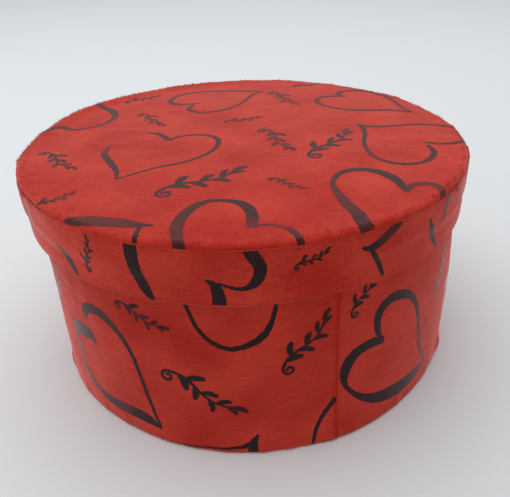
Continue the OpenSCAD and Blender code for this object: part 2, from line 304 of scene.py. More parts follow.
def wall_path():
    """Section of the wall cloth, from its edge inside the box, over the rim, down and under."""
    inside = lining_r - cloth_t
    points = [(inside, body_top - WALL_TURN_IN), (inside, body_top), (body_r, body_top),
              (body_r, body_foot), (cover_r - WALL_UNDER_COVER, body_foot)]
    return rounded(points, [FOLD_R, FOLD_R, FOOT_R])


def band_path():
    """Section of the rim band, from its upper edge down, under the rim and up inside it."""
    inside = rim_lining_r - cloth_t
    points = [(lid_r, band_top), (lid_r, skirt_low), (skirt_r, skirt_low - BAND_SLOPE_H),
              (skirt_r, rim_low), (inside, rim_low), (inside, rim_low + RIM_TURN_IN)]
    return rounded(points, [BAND_SLOPE_R, BAND_SLOPE_R, RIM_FOLD_R, RIM_FOLD_R], step=BAND_STEP)


def top_path():
    """Section of the top cloth, from near the middle over the lid's edge and down its skirt."""
    flat_r = skirt_r - EDGE_ZONE
    flat = leg(np.array([MIDDLE_R, lid_top]), np.array([flat_r, lid_top]), FLAT_STEP)
    over_edge = [(flat_r, lid_top), (skirt_r, lid_top), (skirt_r, skirt_low)]
    edge = rounded(over_edge, [LID_EDGE_R], step=EDGE_STEP)
    return np.concatenate([flat[:-1], edge])


# Distance from the lid's middle, over its edge, to the end of the skirt
SKIRT_END = skirt_r + lid_top - skirt_low - (2 - pi / 2) * LID_EDGE_R

# Places where the cloth is loose: turn in degrees, height, half width, half height, swell
LOOSE_WALL = [(72, 42, 24, 34, 2.0), (32, 2, 40, 9, 1.2), (-8, 2, 40, 9, 1.1), (66, 5, 4, 5, 1.8)]
LOOSE_LID = [(-81, 97, 40, 12, 1.0), (-126, 105, 38, 7, 1.5), (-172, 105, 46, 7, 0.7)]
# How much tighter the lid's cloth lies at its right side
LID_EASE = 0.45
# How far past the table the wall cloth's waves fade out, and half the length that it takes
# them at the lid's lower edge
FADE = 4.0
# Tucks at the foot: height of their middle above the table and half their height
FOOT_TUCKS_UP = 4.0
FOOT_TUCKS_WIDE = 3.5
# Rim band: half widths of its loose upper edge and of the press along it, half height of its
# loose corner, and its tucks' share of the tuck height
LOOSE_EDGE_WIDE = 3.0
EDGE_PRESS_WIDE = 1.3
CORNER_TALL = 14.0
BAND_TUCK_SHARE = 0.4
# Lid's edge: the shoulder's distance past the radius, how far past it the cloth goes under the
# band, over what length it fades, how far before it the roll lies, and half widths of the roll
# and of the loose corner
SHOULDER_PAST = 1.2
BAND_PAST = 3.0
BAND_FADE = 2.0
ROLL_BEFORE = 1.0
ROLL_WIDE = 1.3
CORNER_DEEP = 4.0


def loose_swell(places, turn, height, radius):
    """Sum of soft bulges: each falls off as a Gaussian round the box and up it."""
    total = np.zeros(np.broadcast_shapes(np.shape(turn), np.shape(height)))
    for degrees, middle, wide, tall, swell in places:
        apart = turn_between(turn, radians(degrees)) * radius
        total += swell * hump(apart / wide, (height - middle) / tall)
    return total


def corner_swell(turn, lift):
    """Swell of the lid's edge beside the band's seam: it rises to the seam and drops behind it."""
    before = turn_between(RIM_SEAM, turn) * lid_r
    return lift * hump(before / CORNER_WIDE) * ramp(before, -CORNER_DROP, 0)


def seam_step(cloth, turn, inner, rise):
    """Radial step of an overlap: the upper layer climbs over the lower one, which is pressed.

    The climb takes 0.4 of the overlap's length, just before the overlap. The lower layer is
    pressed all along the overlap, and less and less over a tenth of its length past it.
    """
    stop = cloth.start + WHOLE_TURN
    climb = ramp(turn, stop - cloth.lap() * 0.4, stop)
    pressed = 1 - ramp(turn, cloth.start + cloth.lap(), cloth.start + cloth.lap() * 1.1)
    if inner:
        return climb * (rise + LAYER_GAP)
    return climb * rise - pressed * rise


def wall_swell(looks):
    """Swell of the wall cloth: soft waves, small ripples, tucks at the foot and the seam.

    The waves are 0.8 of the slow ones and 0.35 of the quick ones. The tucks at the foot fall
    off as a Gaussian of the distance from their middle.
    """
    slow = waves(seed=3, count=14, shortest=28, longest=70)
    quick = waves(seed=4, count=26, shortest=6, longest=15, stretch=(1.6, 1.6, 0.8))
    foot = tucks(seed=5, count=70, narrow=1.6, wide=5, radius=body_r)
    table_at = wall_cloth_along(0)
    lid_at = wall_cloth_along(rim_low - 3)

    def swell(cloth, turn, along, place, inner):
        step = seam_step(cloth, turn, inner, looks.seam_rise / MM)
        if inner:
            return step
        below_lid = ramp(along, lid_at - FADE, lid_at + FADE)
        shown = below_lid * (1 - ramp(along, table_at, table_at + FADE))
        at_foot = hump((along - table_at + FOOT_TUCKS_UP) / FOOT_TUCKS_WIDE)
        loose = loose_swell(LOOSE_WALL, turn, place[..., UPWARD], body_r)
        wrinkle = looks.wrinkle_height / MM * (0.8 * slow(place) + 0.35 * quick(place))
        tucked = at_foot * looks.tuck_height / MM * (foot(turn) - 0.5)
        return step + shown * (wrinkle + loose) + tucked

    return swell


def wall_cloth_along(up):
    """Distance along the wall cloth's path of a height on the outside of the wall."""
    path = wall_path()
    along = lengths_along(path)
    middle = np.argmin(abs(path[:, 1] - body_top / 2) + 1e3 * (path[:, 0] < body_r - 0.01))
    return along[middle] + path[middle, 1] - up


def band_swell(looks):
    """Swell of the rim band: soft waves, a loose upper edge and the corner that stands off.

    The waves are 0.6 of the slow ones and 0.4 of the quick ones. The upper edge, its press and
    the corner fall off as Gaussians.
    """
    slow = waves(seed=8, count=14, shortest=24, longest=60)
    quick = waves(seed=9, count=24, shortest=5, longest=14, stretch=(1.8, 1.8, 0.7))
    edge = tucks(seed=10, count=64, narrow=1.5, wide=6, radius=lid_r)

    def swell(cloth, turn, along, place, inner):
        step = seam_step(cloth, turn, inner, looks.seam_rise / MM)
        shown = 1 - ramp(along, band_h - 1, band_h + 3)
        loose = hump(along / LOOSE_EDGE_WIDE)
        from_corner = (cloth.start + WHOLE_TURN + cloth.lap() - turn) * lid_r
        corner = hump(from_corner / CORNER_WIDE, along / CORNER_TALL) * looks.corner_lift / MM
        eased = loose_swell(LOOSE_LID, turn, place[..., UPWARD], lid_r)
        eased = eased - LID_EASE * np.clip(np.sin(turn), 0, 1)
        tucked = loose * looks.tuck_height / MM * BAND_TUCK_SHARE * edge(turn)
        lift = tucked + corner + shown * eased
        if inner:
            return step + lift
        wrinkle = looks.wrinkle_height / MM * (0.6 * slow(place) + 0.4 * quick(place))
        pressed = hump(along / EDGE_PRESS_WIDE) * looks.edge_press / MM
        return step + lift + shown * wrinkle - pressed

    return swell


def top_swell(looks):
    """Swell of the top cloth: soft waves, and a roll with tucks where it turns down.

    The waves are 0.9 of the slow ones and 0.3 of the quick ones. The tucks have a quarter of
    their height at the front and 1.2 times it at the back.
    """
    slow = waves(seed=13, count=14, shortest=30, longest=80)
    quick = waves(seed=14, count=26, shortest=7, longest=18)
    edge = tucks(seed=15, count=62, narrow=2.2, wide=6, radius=lid_r)
    shoulder = skirt_r + SHOULDER_PAST
    hidden = shoulder + BAND_PAST

    def swell(cloth, turn, along, place, inner):
        if inner:
            return np.zeros(np.shape(along))
        shown = 1 - ramp(along, hidden - BAND_FADE, hidden)
        behind = 0.25 + 0.95 * ramp(-np.cos(turn), -0.3, 0.4)
        at_edge = hump((along - shoulder + ROLL_BEFORE) / ROLL_WIDE)
        eased = loose_swell(LOOSE_LID, turn, place[..., UPWARD], lid_r)
        eased = eased * ramp(along, skirt_r - 9, skirt_r)
        eased -= LID_EASE * np.clip(np.sin(turn), 0, 1) * ramp(along, skirt_r - 3, skirt_r + 1)
        corner = corner_swell(turn, looks.corner_lift / MM) * hump((along - shoulder) / CORNER_DEEP)
        wrinkle = looks.wrinkle_height / MM * (0.9 * slow(place) + 0.3 * quick(place))
        gathers = at_edge * looks.tuck_height / MM * behind * edge(turn)
        return shown * (wrinkle + at_edge * looks.edge_roll / MM + gathers + eased + corner)

    return swell


def the_cloths(looks):
    """The three cloths, by the names of the nodes that they replace."""
    return {
        "wall_cloth": Cloth(wall_path(), wall_swell(looks), WALL_SEAM - SEAM_LAP / body_r),
        "lid_rim_cloth": Cloth(band_path(), band_swell(looks), RIM_SEAM - SEAM_LAP / lid_r),
        "lid_top_cloth": Cloth(top_path(), top_swell(looks), before=top_path()[0, ACROSS]),
    }


# Meshes


class Shape:
    """Vertices, faces and per-vertex values of a mesh that is being put together."""

    def __init__(self):
        self.places, self.faces, self.weave, self.nap = [], [], [], []
        self.normal_parts = []
        self.count = 0

    def add(self, places, faces, weave, nap):
        """Adds places (n, 3) in mm, lists of faces that index them, and their values."""
        places = np.reshape(places, (-1, 3))
        for group in faces:
            self.faces += (np.asarray(group) + self.count).tolist()
        self.places.append(places)
        self.weave.append(np.broadcast_to(np.reshape(weave, (-1, 2)), (len(places), 2)))
        self.nap.append(np.broadcast_to(np.ravel(nap), (len(places),)))
        self.count += len(places)


def grid_faces(rows, columns, close_rows=False, close_columns=False):
    """Quads of a grid whose places are numbered row by row."""
    row = np.arange(rows if close_rows else rows - 1)[:, None]
    column = np.arange(columns if close_columns else columns - 1)[None, :]
    next_row, next_column = (row + 1) % rows, (column + 1) % columns
    return np.stack([row * columns + column, next_row * columns + column,
                     next_row * columns + next_column, row * columns + next_column],
                    axis=-1).reshape(-1, 4)


def soft_edge(outer, inner, beyond):
    """Places in the middle of a cut edge, a little past the line between both skins."""
    return (outer + inner) / 2 + unit(outer - beyond) * cloth_t / 3


def skin_normals(places):
    """Normals of a strip's skin: across the step along the strip and the step round its section.

    At a cut end the step along the strip runs one way only, so the end is lit as the skin is.
    """
    onward = np.gradient(places, axis=0)
    round_section = np.roll(places, -1, axis=1) - np.roll(places, 1, axis=1)
    return unit(np.cross(round_section, onward).reshape(-1, 3))


def band_shape(cloth, around, nap):
    """Closed mesh of an open strip: outer skin, inner skin, soft edges and both cut ends.

    Along the cut ends the nap value drops as a Gaussian of the distance: painted shade, a darker line at
    the seam.
    """
    turns = np.linspace(cloth.start, cloth.start + WHOLE_TURN + cloth.lap(), around)
    from_end = np.minimum(turns - turns[0], turns[-1] - turns) * cloth.path[:, 0].max()
    # Painted shade: the nap value drops along each cut end, so the cloth is drawn darker in a line at
    # the seam
    pressed = SEAM_SHADE_DEPTH * hump(from_end / SEAM_SHADE_WIDE)
    turn, along = np.meshgrid(turns, cloth.along, indexing="ij")
    outer = cloth.point(turn, along)
    inner = cloth.point(turn, along, -cloth_t * GLUED_SHARE, inner=True)
    first = soft_edge(outer[:, :1], inner[:, :1], outer[:, 1:2])
    last = soft_edge(outer[:, -1:], inner[:, -1:], outer[:, -2:-1])
    places = np.concatenate([first, outer, last, inner[:, ::-1]], axis=1)
    count = len(cloth.along)
    across = np.broadcast_to(turn[:, :1] * cloth.path[:, 0].max(), (around, places.shape[1]))
    length = np.concatenate([along[:, :1], along, along[:, -1:], along[:, ::-1]], axis=1)
    shape = Shape()
    side = np.arange(1, count)
    back = 2 * count + 2 - side
    cut = np.stack([side, side + 1, back - 1, back], axis=1)
    tips = np.array([[0, 1, 2 * count + 1], [count, count + 1, count + 2]])
    end = (around - 1) * places.shape[1]
    skins = grid_faces(around, places.shape[1], close_columns=True)
    shape.add(places, [skins, cut, tips, cut[:, ::-1] + end, tips[:, ::-1] + end],
              np.stack([across, length], axis=-1),
              nap(places).reshape(across.shape) - pressed[:, None])
    shape.normal_parts.append(skin_normals(places))
    return shape


def disc_shape(cloth, around, nap):
    """Closed mesh of a round cloth: outer skin from the middle, soft edge, and inner skin back.

    The inner skin is smooth, so it takes every third ring of the outer one.
    """
    turns = np.linspace(0, WHOLE_TURN, around, endpoint=False)
    turn, along = np.meshgrid(turns, cloth.along, indexing="ij")
    outer = cloth.point(turn, along)
    few = np.append(np.arange(0, len(cloth.along) - 1, 3), len(cloth.along) - 1)
    inner = cloth.point(turn[:, few], along[:, few], -cloth_t * GLUED_SHARE, inner=True)
    edge = soft_edge(outer[:, -1:], inner[:, -1:], outer[:, -2:-1])
    places = np.concatenate([outer, edge, inner[:, ::-1]], axis=1)
    columns = places.shape[1]
    middles = np.stack([places[:, 0].mean(0), places[:, -1].mean(0)])
    ring = np.arange(around)
    following = (ring + 1) % around
    pole = around * columns
    top = np.stack([np.full(around, pole), following * columns, ring * columns], axis=1)
    under = np.stack([np.full(around, pole + 1), ring * columns + columns - 1,
                      following * columns + columns - 1], axis=1)
    everything = np.concatenate([places.reshape(-1, 3), middles])
    shape = Shape()
    shape.add(everything, [grid_faces(around, columns, close_rows=True), top, under],
              everything[:, :2], nap(everything))
    return shape


def volume(places, faces):
    """Signed volume inside closed faces, each taken as a fan of triangles."""
    total = 0.0
    for size in {len(face) for face in faces}:
        corners = places[np.array([face for face in faces if len(face) == size])]
        for i in range(1, size - 1):
            total += np.einsum("ij,ij->", corners[:, 0],
                               np.cross(corners[:, i], corners[:, i + 1])) / 6
    return total


def make_piece(name, shape, material, body, nodes=()):
    """Mesh object of a shape, with its faces outward, that rides on a body of the frame."""
    places = np.concatenate(shape.places)
    faces = shape.faces
    if volume(places, faces) < 0:
        faces = [face[::-1] for face in faces]
    data = bpy.data.meshes.new(name)
    data.from_pydata((places * MM).tolist(), [], faces)
    corners = np.empty(len(data.loops), np.int32)
    data.loops.foreach_get("vertex_index", corners)
    layer = data.uv_layers.new(name="weave")
    layer.data.foreach_set("uv", np.concatenate(shape.weave)[corners].astype(np.float32).ravel())
    nap = data.attributes.new("nap", "FLOAT", "POINT")
    nap.data.foreach_set("value", np.concatenate(shape.nap).astype(np.float32))
    data.polygons.foreach_set("use_smooth", np.ones(len(data.polygons), bool))
    if shape.normal_parts:
        data.normals_split_custom_set_from_vertices(np.concatenate(shape.normal_parts).tolist())
    data.materials.append(material)
    data.update()
    piece = bpy.data.objects.new(name, data)
    bpy.context.scene.collection.objects.link(piece)
    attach(piece, body)
    if nodes:
        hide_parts(*nodes)
    return piece


# The print: rows of [across, up, width] in hundredths of the body's radius

LID_HEARTS = [
    # Heart near the middle left
    [[-64.5, -1.5, 0.8], [-66, -7, 2], [-66, -14, 3.2], [-61, -25, 3.2], [-57, -35, 2.2], [-56, -43, 1]],
    [[-50, 13, 0.7], [-47, 12, 1.6], [-43, 9.5, 2.8], [-38, 1.5, 3.2]],
    [[-38, 1, 2.2], [-33, 5.5, 1.7], [-27, 7, 1.8], [-20, 6, 2.2], [-15, 1, 2.6], [-14, -8, 2.4],
     [-19, -19, 1.9], [-29, -28, 1.6], [-43, -34, 1.5], [-56, -43, 1]],
    # Heart at the back left
    [[-25, 59, 1.4], [-31, 58, 2], [-37, 58.5, 2.8], [-42, 62, 3.4], [-42.5, 69, 3],
     [-38, 77, 2.2], [-29, 81.5, 2.2], [-19, 83, 2.2], [-5, 82, 2.2], [10, 79, 1.4]],
    [[-29, 56, 2], [-31.5, 49, 2.6], [-27, 43.5, 2.4], [-20, 42, 2.2], [-12, 45, 2.2],
     [-5, 52, 2], [0, 62, 1.9], [4, 72, 1.9], [10, 79, 1.4]],
    # Heart at the back right
    [[58, 62, 1.4], [51, 64, 2.4], [44, 62.5, 3], [40, 56, 2.6], [42, 49, 2.4], [48, 41.5, 2.2],
     [57, 36, 2.2], [70, 34.5, 2.4], [80, 33, 2.4], [89, 29, 1.4]],
    [[55, 62.5, 2.4], [54.5, 69, 3.2], [59, 73, 2.4], [66, 73.5, 2.2], [73, 69.5, 2.2],
     [80, 60, 2], [83.5, 49, 2], [85, 38, 2], [89, 29, 1.4]],
    # Heart at the right, that runs over the edge
    [[56, 14, 1], [61, 9.5, 2.2], [70, 8.5, 2.2], [79, 9.5, 2.1], [87, 9.5, 2.1], [94, 8, 2.1],
     [100, 5, 2.1], [104.5, 1.5, 2.1], [107.5, -3, 2.2], [108, -9, 2.4], [105, -14.5, 3],
     [99, -18, 2.8], [91, -19, 2.4], [83, -16, 1.2]],
    [[56, 14, 1.4], [58, 8, 2.6], [57.5, -1, 2.2], [55, -12, 2], [54.5, -23, 2.2],
     [57, -33, 2.4], [63, -39.5, 2.4], [71, -41, 2.4], [79, -37, 2.8], [84, -29, 2.8], [83.5, -20, 2]],
    # Heart at the front right
    [[42, -100, 6], [40, -93, 5.8], [39, -85, 5.4], [36.5, -77, 4.6], [34.5, -68, 3.6],
     [33.5, -59, 2.4], [36, -51, 2.6], [41, -46, 3.2], [48, -45, 3.6], [55, -49, 4.4],
     [60, -57, 4.6], [61.5, -69, 2]],
    [[61.5, -69, 1.6], [65, -63.5, 3.2], [70, -62, 3.6], [74.5, -64, 3.8], [76, -69, 3.2],
     [75, -77, 2.6]],
    # Heart at the front
    [[-24, -106, 4], [-26, -98, 4.2], [-27, -89, 4.8], [-25.5, -80, 4.6], [-21.5, -72, 4.2],
     [-15.5, -68, 2.8], [-9, -68.5, 2.6], [-3, -72.5, 4.2], [0, -80, 4.6], [0, -92, 4.6]],
    [[0, -90.5, 1.4], [5, -90, 1.6], [9.5, -92, 2], [13.5, -95, 2.6], [16, -101, 2.8], [17, -108, 2.6]],
    # Open heart at the front left
    [[-69.2, -77.8, 0.8], [-66.5, -78.6, 3.6], [-62, -79.8, 6.4], [-56, -81.5, 7.4], [-49, -83.2, 6.6],
     [-42, -85.4, 4.6], [-35.5, -86.8, 1]],
    [[-40, -86, 1.8], [-40.8, -92, 1.9], [-41.2, -98, 2], [-42, -103, 2]],
    # Heart at the left, cut by the edge
    [[-90, 64, 3], [-81, 59, 3.4], [-74, 52, 4.6], [-70.5, 44, 3.6], [-71, 37, 2.8], [-75, 29.5, 2.4],
     [-81, 25, 2.2], [-88, 23, 2.4], [-94, 27, 3.4]],
    [[-93.5, 28, 3], [-98, 25, 2.4], [-101, 20, 2], [-104, 14, 1.6]],
]

WALL_HEARTS = [
    # Heart that leans to the left
    [[-80, 53.5, 1], [-80.5, 57, 4], [-78, 60.5, 4.6], [-73, 62, 5], [-67, 61, 4.6],
     [-61.5, 57.5, 3.6], [-57, 52, 2.4], [-53.5, 44, 2], [-51.5, 35, 1.8], [-49.5, 25, 2],
     [-47, 15, 1.6], [-45, 8, 1]],
    [[-94, 37, 2.4], [-92, 43, 7], [-86, 45, 7.6], [-79.5, 45.5, 5], [-77, 42, 1]],
    [[-94, 37, 2], [-93.5, 27, 3], [-89, 18, 3.6], [-82, 13, 4], [-75, 11.5, 4.8], [-67, 11.5, 6],
     [-58, 12, 6.2], [-51, 11, 5.4], [-45, 8, 1]],
    # Heart whose upper half is under the lid
    [[-32, 98, 1.2], [-29.5, 87, 1.4], [-26.5, 76, 1.6], [-23, 66, 1.8], [-18, 60, 2],
     [-11, 57, 2.2], [-3.5, 59, 2.8], [2.5, 63.5, 3], [6, 71, 2], [7.5, 80, 1.6], [5.5, 88, 2.6],
     [-1, 92.5, 3.4], [-8, 91, 3], [-12, 86, 1.4]],
    # Heart that leans to the right
    [[54, 46.5, 1.4], [51.5, 52, 3], [51, 58.5, 4], [53, 63, 4.6], [58, 65.5, 4.8],
     [64, 64.5, 4.6], [70, 61.5, 3.4], [75, 55, 2.8], [78.5, 47, 2.4], [81, 36, 2], [83.5, 25, 2.2],
     [91, 13, 1]],
    [[55.5, 45, 3.4], [50, 46.5, 5], [44, 46, 5], [39, 43, 5.6], [36, 37, 5], [36, 30, 2.6],
     [39.5, 24, 2.2], [45, 18.5, 3.4], [52, 14.5, 5.6], [61, 12, 7], [71, 11, 7], [81, 11.5, 5.6],
     [91, 13, 1]],
    # Side of a heart that ends at the seam
    [[31.8, 24, 2.8], [28, 19, 2.4], [24.5, 13.5, 2], [22.5, 8, 1.8], [21.5, 2.5, 1.4], [21, -3, 1.4]],
    # Foot of a heart that the lower edge cuts
    [[-35, 2, 1], [-24, 2.6, 1], [-14, 3.4, 1.4], [-7, 5, 2.4], [-2, 11, 0.8]],
    [[-2, 11, 0.8], [-3.5, 7, 2.6], [-4.5, 2, 4.6], [-5, -3, 4.6]],
]

RIM_HEARTS = [
    # Lobe that the upper edge cuts, with its thick tail
    [[-2, 27, 5], [-1, 23, 5], [1.5, 19, 4.8], [2, 15, 4.6], [0, 10.5, 4], [-4, 8, 2],
     [-8.5, 8.5, 1.4], [-13, 10.5, 1.2]],
    [[-17.5, 12, 0.8], [-14.5, 9.5, 3.8], [-13.5, 6, 4.8], [-13.2, 2, 5.2], [-13, -3, 5.2]],
    # Slanting stroke
    [[-44.5, 27, 5.6], [-44.5, 23, 5.6], [-44.5, 18, 5.4], [-43.5, 12, 5], [-41.5, 6, 4.6],
     [-39, 1.5, 2.6], [-37, -3, 2]],
    # Tip of a heart
    [[40, 18, 0.8], [44, 17, 3], [48.5, 18.5, 3.8], [52.5, 21, 4], [56, 23, 3.6], [59, 27, 3.6]],
    [[44, 16.5, 2], [47, 11.5, 2], [49.5, 6.5, 2], [51, 2.5, 1.4]],
    # Strokes at the right
    [[75.5, 19, 0.8], [77, 15, 2.6], [78.5, 12, 3.6], [80, 9, 3], [82.5, 5, 1.8], [85, 2.5, 1]],
    [[89.5, 28, 2.6], [89.2, 24, 2.6], [88.5, 20.5, 2.6], [86.8, 15.7, 2], [84.5, 12, 1]],
    # Strokes at the left
    [[-85.5, 12, 0.8], [-82.5, 10.5, 2.6], [-79.5, 8, 4], [-77, 5, 3.4], [-75, 1.5, 1]],
    [[-108.8, 28, 2], [-108.5, 22, 2.4], [-107.8, 19.2, 3], [-106.5, 15.2, 2.4], [-103.5, 11.5, 1.6],
     [-99, 10, 1]],
]

# Small leafy sprigs between the hearts: across, up, turn in degrees and length

LID_SPRIGS = [
    (-60, 72, 34, 26), (-50, 35, -55, 30), (22, 65, -61, 34), (-3, 28, 20, 24), (36, 88, 10, 18),
    (14, -2, -66, 38), (38, -12, 57, 48), (15, -55, -40, 22), (-21, -49, 34, 50),
    (-86, -18, -48, 34), (-78, -60, 42, 22),
]
WALL_SPRIGS = [(-47.5, 68, -18, 28), (-24.5, 34, -28, 44), (18, 56, 56, 38), (43, 73, 62, 26),
               (100, 57, 76, 30)]
RIM_SPRIGS = [(-66, 14, 78, 20), (20, 18, 25, 17)]

# Turns of the cloth's repeat round the box, in degrees
REPEATS = [0, 119, 241]
PRINT_UNIT = body_r / 100
# Where a sprig's leaves sit on its stem, and how fast the stem waves, in radians along it
LEAF_SHARES = (0.14, 0.27, 0.4, 0.53, 0.66, 0.79, 0.92)
STEM_WAVE = 5.3
# Distance between a stroke's rails, steps from row to row, and least length of a stroke in rows
RAIL_GAP = 0.65
FINE_STEPS = 60
SHORTEST = 0.2
# Distances between the rings of a stroke: of a heart, of a sprig and over the lid's edge
HEART_STEP = 0.9
SPRIG_STEP = 0.7
OVER_EDGE_STEP = 0.45
# Depth of a stroke's under side in the pile, and unevenness of its edges
PRINT_SUNK = 0.3
PRINT_ROUGH = 0.16
# How far the print keeps inside a cut edge, and how far it runs on where it is out of sight
PRINT_MARGIN = 0.15
PRINT_BELOW_TOP = 1.0
PRINT_UNDER_FOOT = 1.5
PRINT_UNDER_RIM = 1.0


def curl(start, heading, size, width, turns=1.2, rows=12):
    """Rows of a curl: its heading turns left at a steady rate while its radius shrinks to a fifth."""
    share = np.linspace(0, 1, rows)
    ways = heading + WHOLE_TURN * turns * share
    steps = size * (1 - 0.8 * share) * WHOLE_TURN * turns / (rows - 1)
    across = start[0] + np.concatenate([[0], np.cumsum(steps[:-1] * np.cos(ways[:-1]))])
    up = start[1] + np.concatenate([[0], np.cumsum(steps[:-1] * np.sin(ways[:-1]))])
    return np.stack([across, up, np.full(rows, width)], axis=1)


def leaf(root, heading, size):
    """Rows of a pointed leaf: a bowed line whose width follows the root of sin(pi t)."""
    t = np.linspace(0, 1, 6)
    bow = 0.1 * np.sin(pi * t) * size
    return np.stack([root[0] + size * t * cos(heading) - bow * sin(heading),
                     root[1] + size * t * sin(heading) + bow * cos(heading),
                     0.25 + 0.36 * size * np.sqrt(np.sin(pi * (0.05 + 0.9 * t)))], axis=1)


def sprig(length):
    """Strokes of a small leafy twig along +X, with a curled foot and eight leaves.

    The stem is 0.85 of a sine wave, and its leaves stand on both sides by turns.
    """
    thick = max(0.9, 0.034 * length)
    foot, tip, sway = -0.36 * length, 0.34 * length, 0.06 * length
    share = np.linspace(0, 1, 9)

    def phase(t):
        return WHOLE_TURN * (0.85 * t + 0.1)

    def stem(t):
        return foot + (tip - foot) * t, sway * np.sin(phase(t))

    across, up = stem(share)
    strokes = [np.stack([across, up, thick * (1.15 - 0.55 * share)], axis=1)]
    strokes.append(curl((across[0], up[0]), pi + 0.75, 0.065 * length, thick))
    for index, t in enumerate(LEAF_SHARES):
        side = 1 if index % 2 else -1
        slope = np.arctan2(sway * cos(phase(t)) * STEM_WAVE, tip - foot)
        strokes.append(leaf(stem(t), slope + side * (0.85 - 0.25 * t), length * (0.2 - 0.07 * t)))
    strokes.append(leaf(stem(1.0), radians(5), length * 0.15))
    return strokes


def sprig_strokes(places):
    """Strokes of each sprig, turned and moved to its place."""
    strokes = []
    for across, up, degrees, length in places:
        turn = radians(degrees)
        for rows in sprig(length):
            moved = rows.copy()
            moved[:, 0] = across + rows[:, 0] * cos(turn) - rows[:, 1] * sin(turn)
            moved[:, 1] = up + rows[:, 0] * sin(turn) + rows[:, 1] * cos(turn)
            strokes.append(moved)
    return strokes


def flow(rows, share):
    """Catmull-Rom curve through rows, and its slope, at a share counted in rows."""
    last = len(rows) - 1
    row = np.clip(np.floor(share).astype(int), 0, last - 1)
    u = (share - row)[..., None]
    a, b, c, d = (rows[np.clip(row + k, 0, last)] for k in (-1, 0, 1, 2))
    first, second, third = c - a, 2 * a - 5 * b + 4 * c - d, 3 * b - a - 3 * c + d
    here = (2 * b + first * u + second * u ** 2 + third * u ** 3) / 2
    return here, (first + 2 * second * u + 3 * third * u ** 2) / 2


RAGGED = waves(seed=21, count=18, shortest=0.7, longest=2.6)


def stroke_place(rows, share, rail):
    """Flat place on a stroke: its centre line, moved to a side by rail times half its width.

    Its edges are uneven by a random field, as a print on a pile is.
    """
    here, slope = flow(rows, share)
    run = unit(slope[..., :2])
    side = np.stack([-run[..., 1], run[..., 0]], axis=-1)
    flat = here[..., :2] + side * (rail * here[..., 2] / 2)[..., None]
    rough = RAGGED(np.concatenate([flat, np.zeros_like(flat[..., :1])], axis=-1))
    return flat + side * (rail * (PRINT_ROUGH * rough))[..., None]


def stroke_mesh(shape, cloth, rows, lay, height, step, nap):
    """Adds one stroke as a closed ribbon that follows its cloth.

    Across the ribbon the upper side is a low dome, height (1 - 0.6 rail^4), and the under
    side lies sunk in the pile. Each rail is kept only where lay says that the cloth is. The
    normals are the cloth's own, because the print's thin sides don't catch light of their own.
    """
    rail_count = int(rows[:, 2].max() * PRINT_UNIT / RAIL_GAP) + 5
    rails = np.sin(np.linspace(-pi / 2, pi / 2, rail_count))
    fine = np.linspace(0, len(rows) - 1, FINE_STEPS * (len(rows) - 1) + 1)
    share, rail = np.meshgrid(fine, rails, indexing="ij")
    kept = lay(stroke_place(rows, share, rail))[2]
    if not kept.any(axis=0).all():
        return
    first = fine[kept.argmax(axis=0)]
    last = fine[len(fine) - 1 - kept[::-1].argmax(axis=0)]
    if (last - first).max() < SHORTEST:
        return
    line = flow(rows, fine)[0]
    length = np.hypot(*np.diff(line[:, :2], axis=0).T).sum()
    furthest = np.hypot(line[:, 0], line[:, 1]).max() * PRINT_UNIT
    if cloth.start is None and furthest > skirt_r - 2:
        step = OVER_EDGE_STEP
    rings = max(6, round(length * PRINT_UNIT / step))
    order = np.concatenate([np.arange(rail_count), np.arange(rail_count - 2, 0, -1)])
    share = first[order] + (last - first)[order] * np.linspace(0, 1, rings)[:, None]
    rail = np.broadcast_to(rails[order], share.shape)
    turn, along, _ = lay(stroke_place(rows, share, rail))
    columns = len(order)
    sunk = np.arange(columns) >= rail_count
    proud = np.where(sunk, -PRINT_SUNK, height * (1 - 0.6 * rails[order] ** 4))
    places = cloth.point(cloth.top_turn(turn), along, proud)
    middle = np.arange(1, rail_count - 2)
    cap = np.stack([middle, middle + 1, columns - middle - 1, columns - middle], axis=1)
    tips = np.array([[0, 1, columns - 1], [rail_count - 2, rail_count - 1, rail_count]])
    end = (rings - 1) * columns
    weave = np.stack([turn * body_r, along], axis=-1)
    ribbon = grid_faces(rings, columns, close_columns=True)
    shape.add(places, [ribbon, cap, tips, cap[:, ::-1] + end, tips[:, ::-1] + end], weave,
              nap(places))
    side = np.where(sunk, -1.0, 1.0)[:, None] * cloth.frame_at(turn, along)[0]
    shape.normal_parts.append(side.reshape(-1, 3))


def lay_on_top(flat):
    """Flat place on the lid's top: turn, distance from the middle, and whether it may show."""
    flat = flat * PRINT_UNIT
    along = np.hypot(flat[..., 0], flat[..., 1])
    return np.arctan2(flat[..., 0], -flat[..., 1]), along, along < SKIRT_END - PRINT_MARGIN


def lay_on_wall(degrees):
    """Flat place on the wall, whose up is a height, for one turn of the repeat."""

    def lay(flat):
        flat = flat * PRINT_UNIT
        up = flat[..., 1]
        shown = (up > -PRINT_UNDER_FOOT) & (up < body_top - PRINT_BELOW_TOP)
        return radians(degrees) + flat[..., 0] / body_r, wall_cloth_along(0) - up, shown

    return lay


def lay_on_rim(degrees):
    """Flat place on the rim band, whose up starts at the band's lower edge."""

    def lay(flat):
        flat = flat * PRINT_UNIT
        along = band_h - flat[..., 1]
        shown = (along > PRINT_MARGIN) & (along < band_h + PRINT_UNDER_RIM)
        return radians(degrees) + flat[..., 0] / lid_r, along, shown

    return lay


# The print of each cloth: hearts, sprigs, how they are laid, and the turns of the repeats
PRINTS = {
    "lid_top_cloth": (LID_HEARTS, LID_SPRIGS, lambda _: lay_on_top, [0]),
    "lid_rim_cloth": (RIM_HEARTS, RIM_SPRIGS, lay_on_rim, REPEATS),
    "wall_cloth": (WALL_HEARTS, WALL_SPRIGS, lay_on_wall, REPEATS),
}


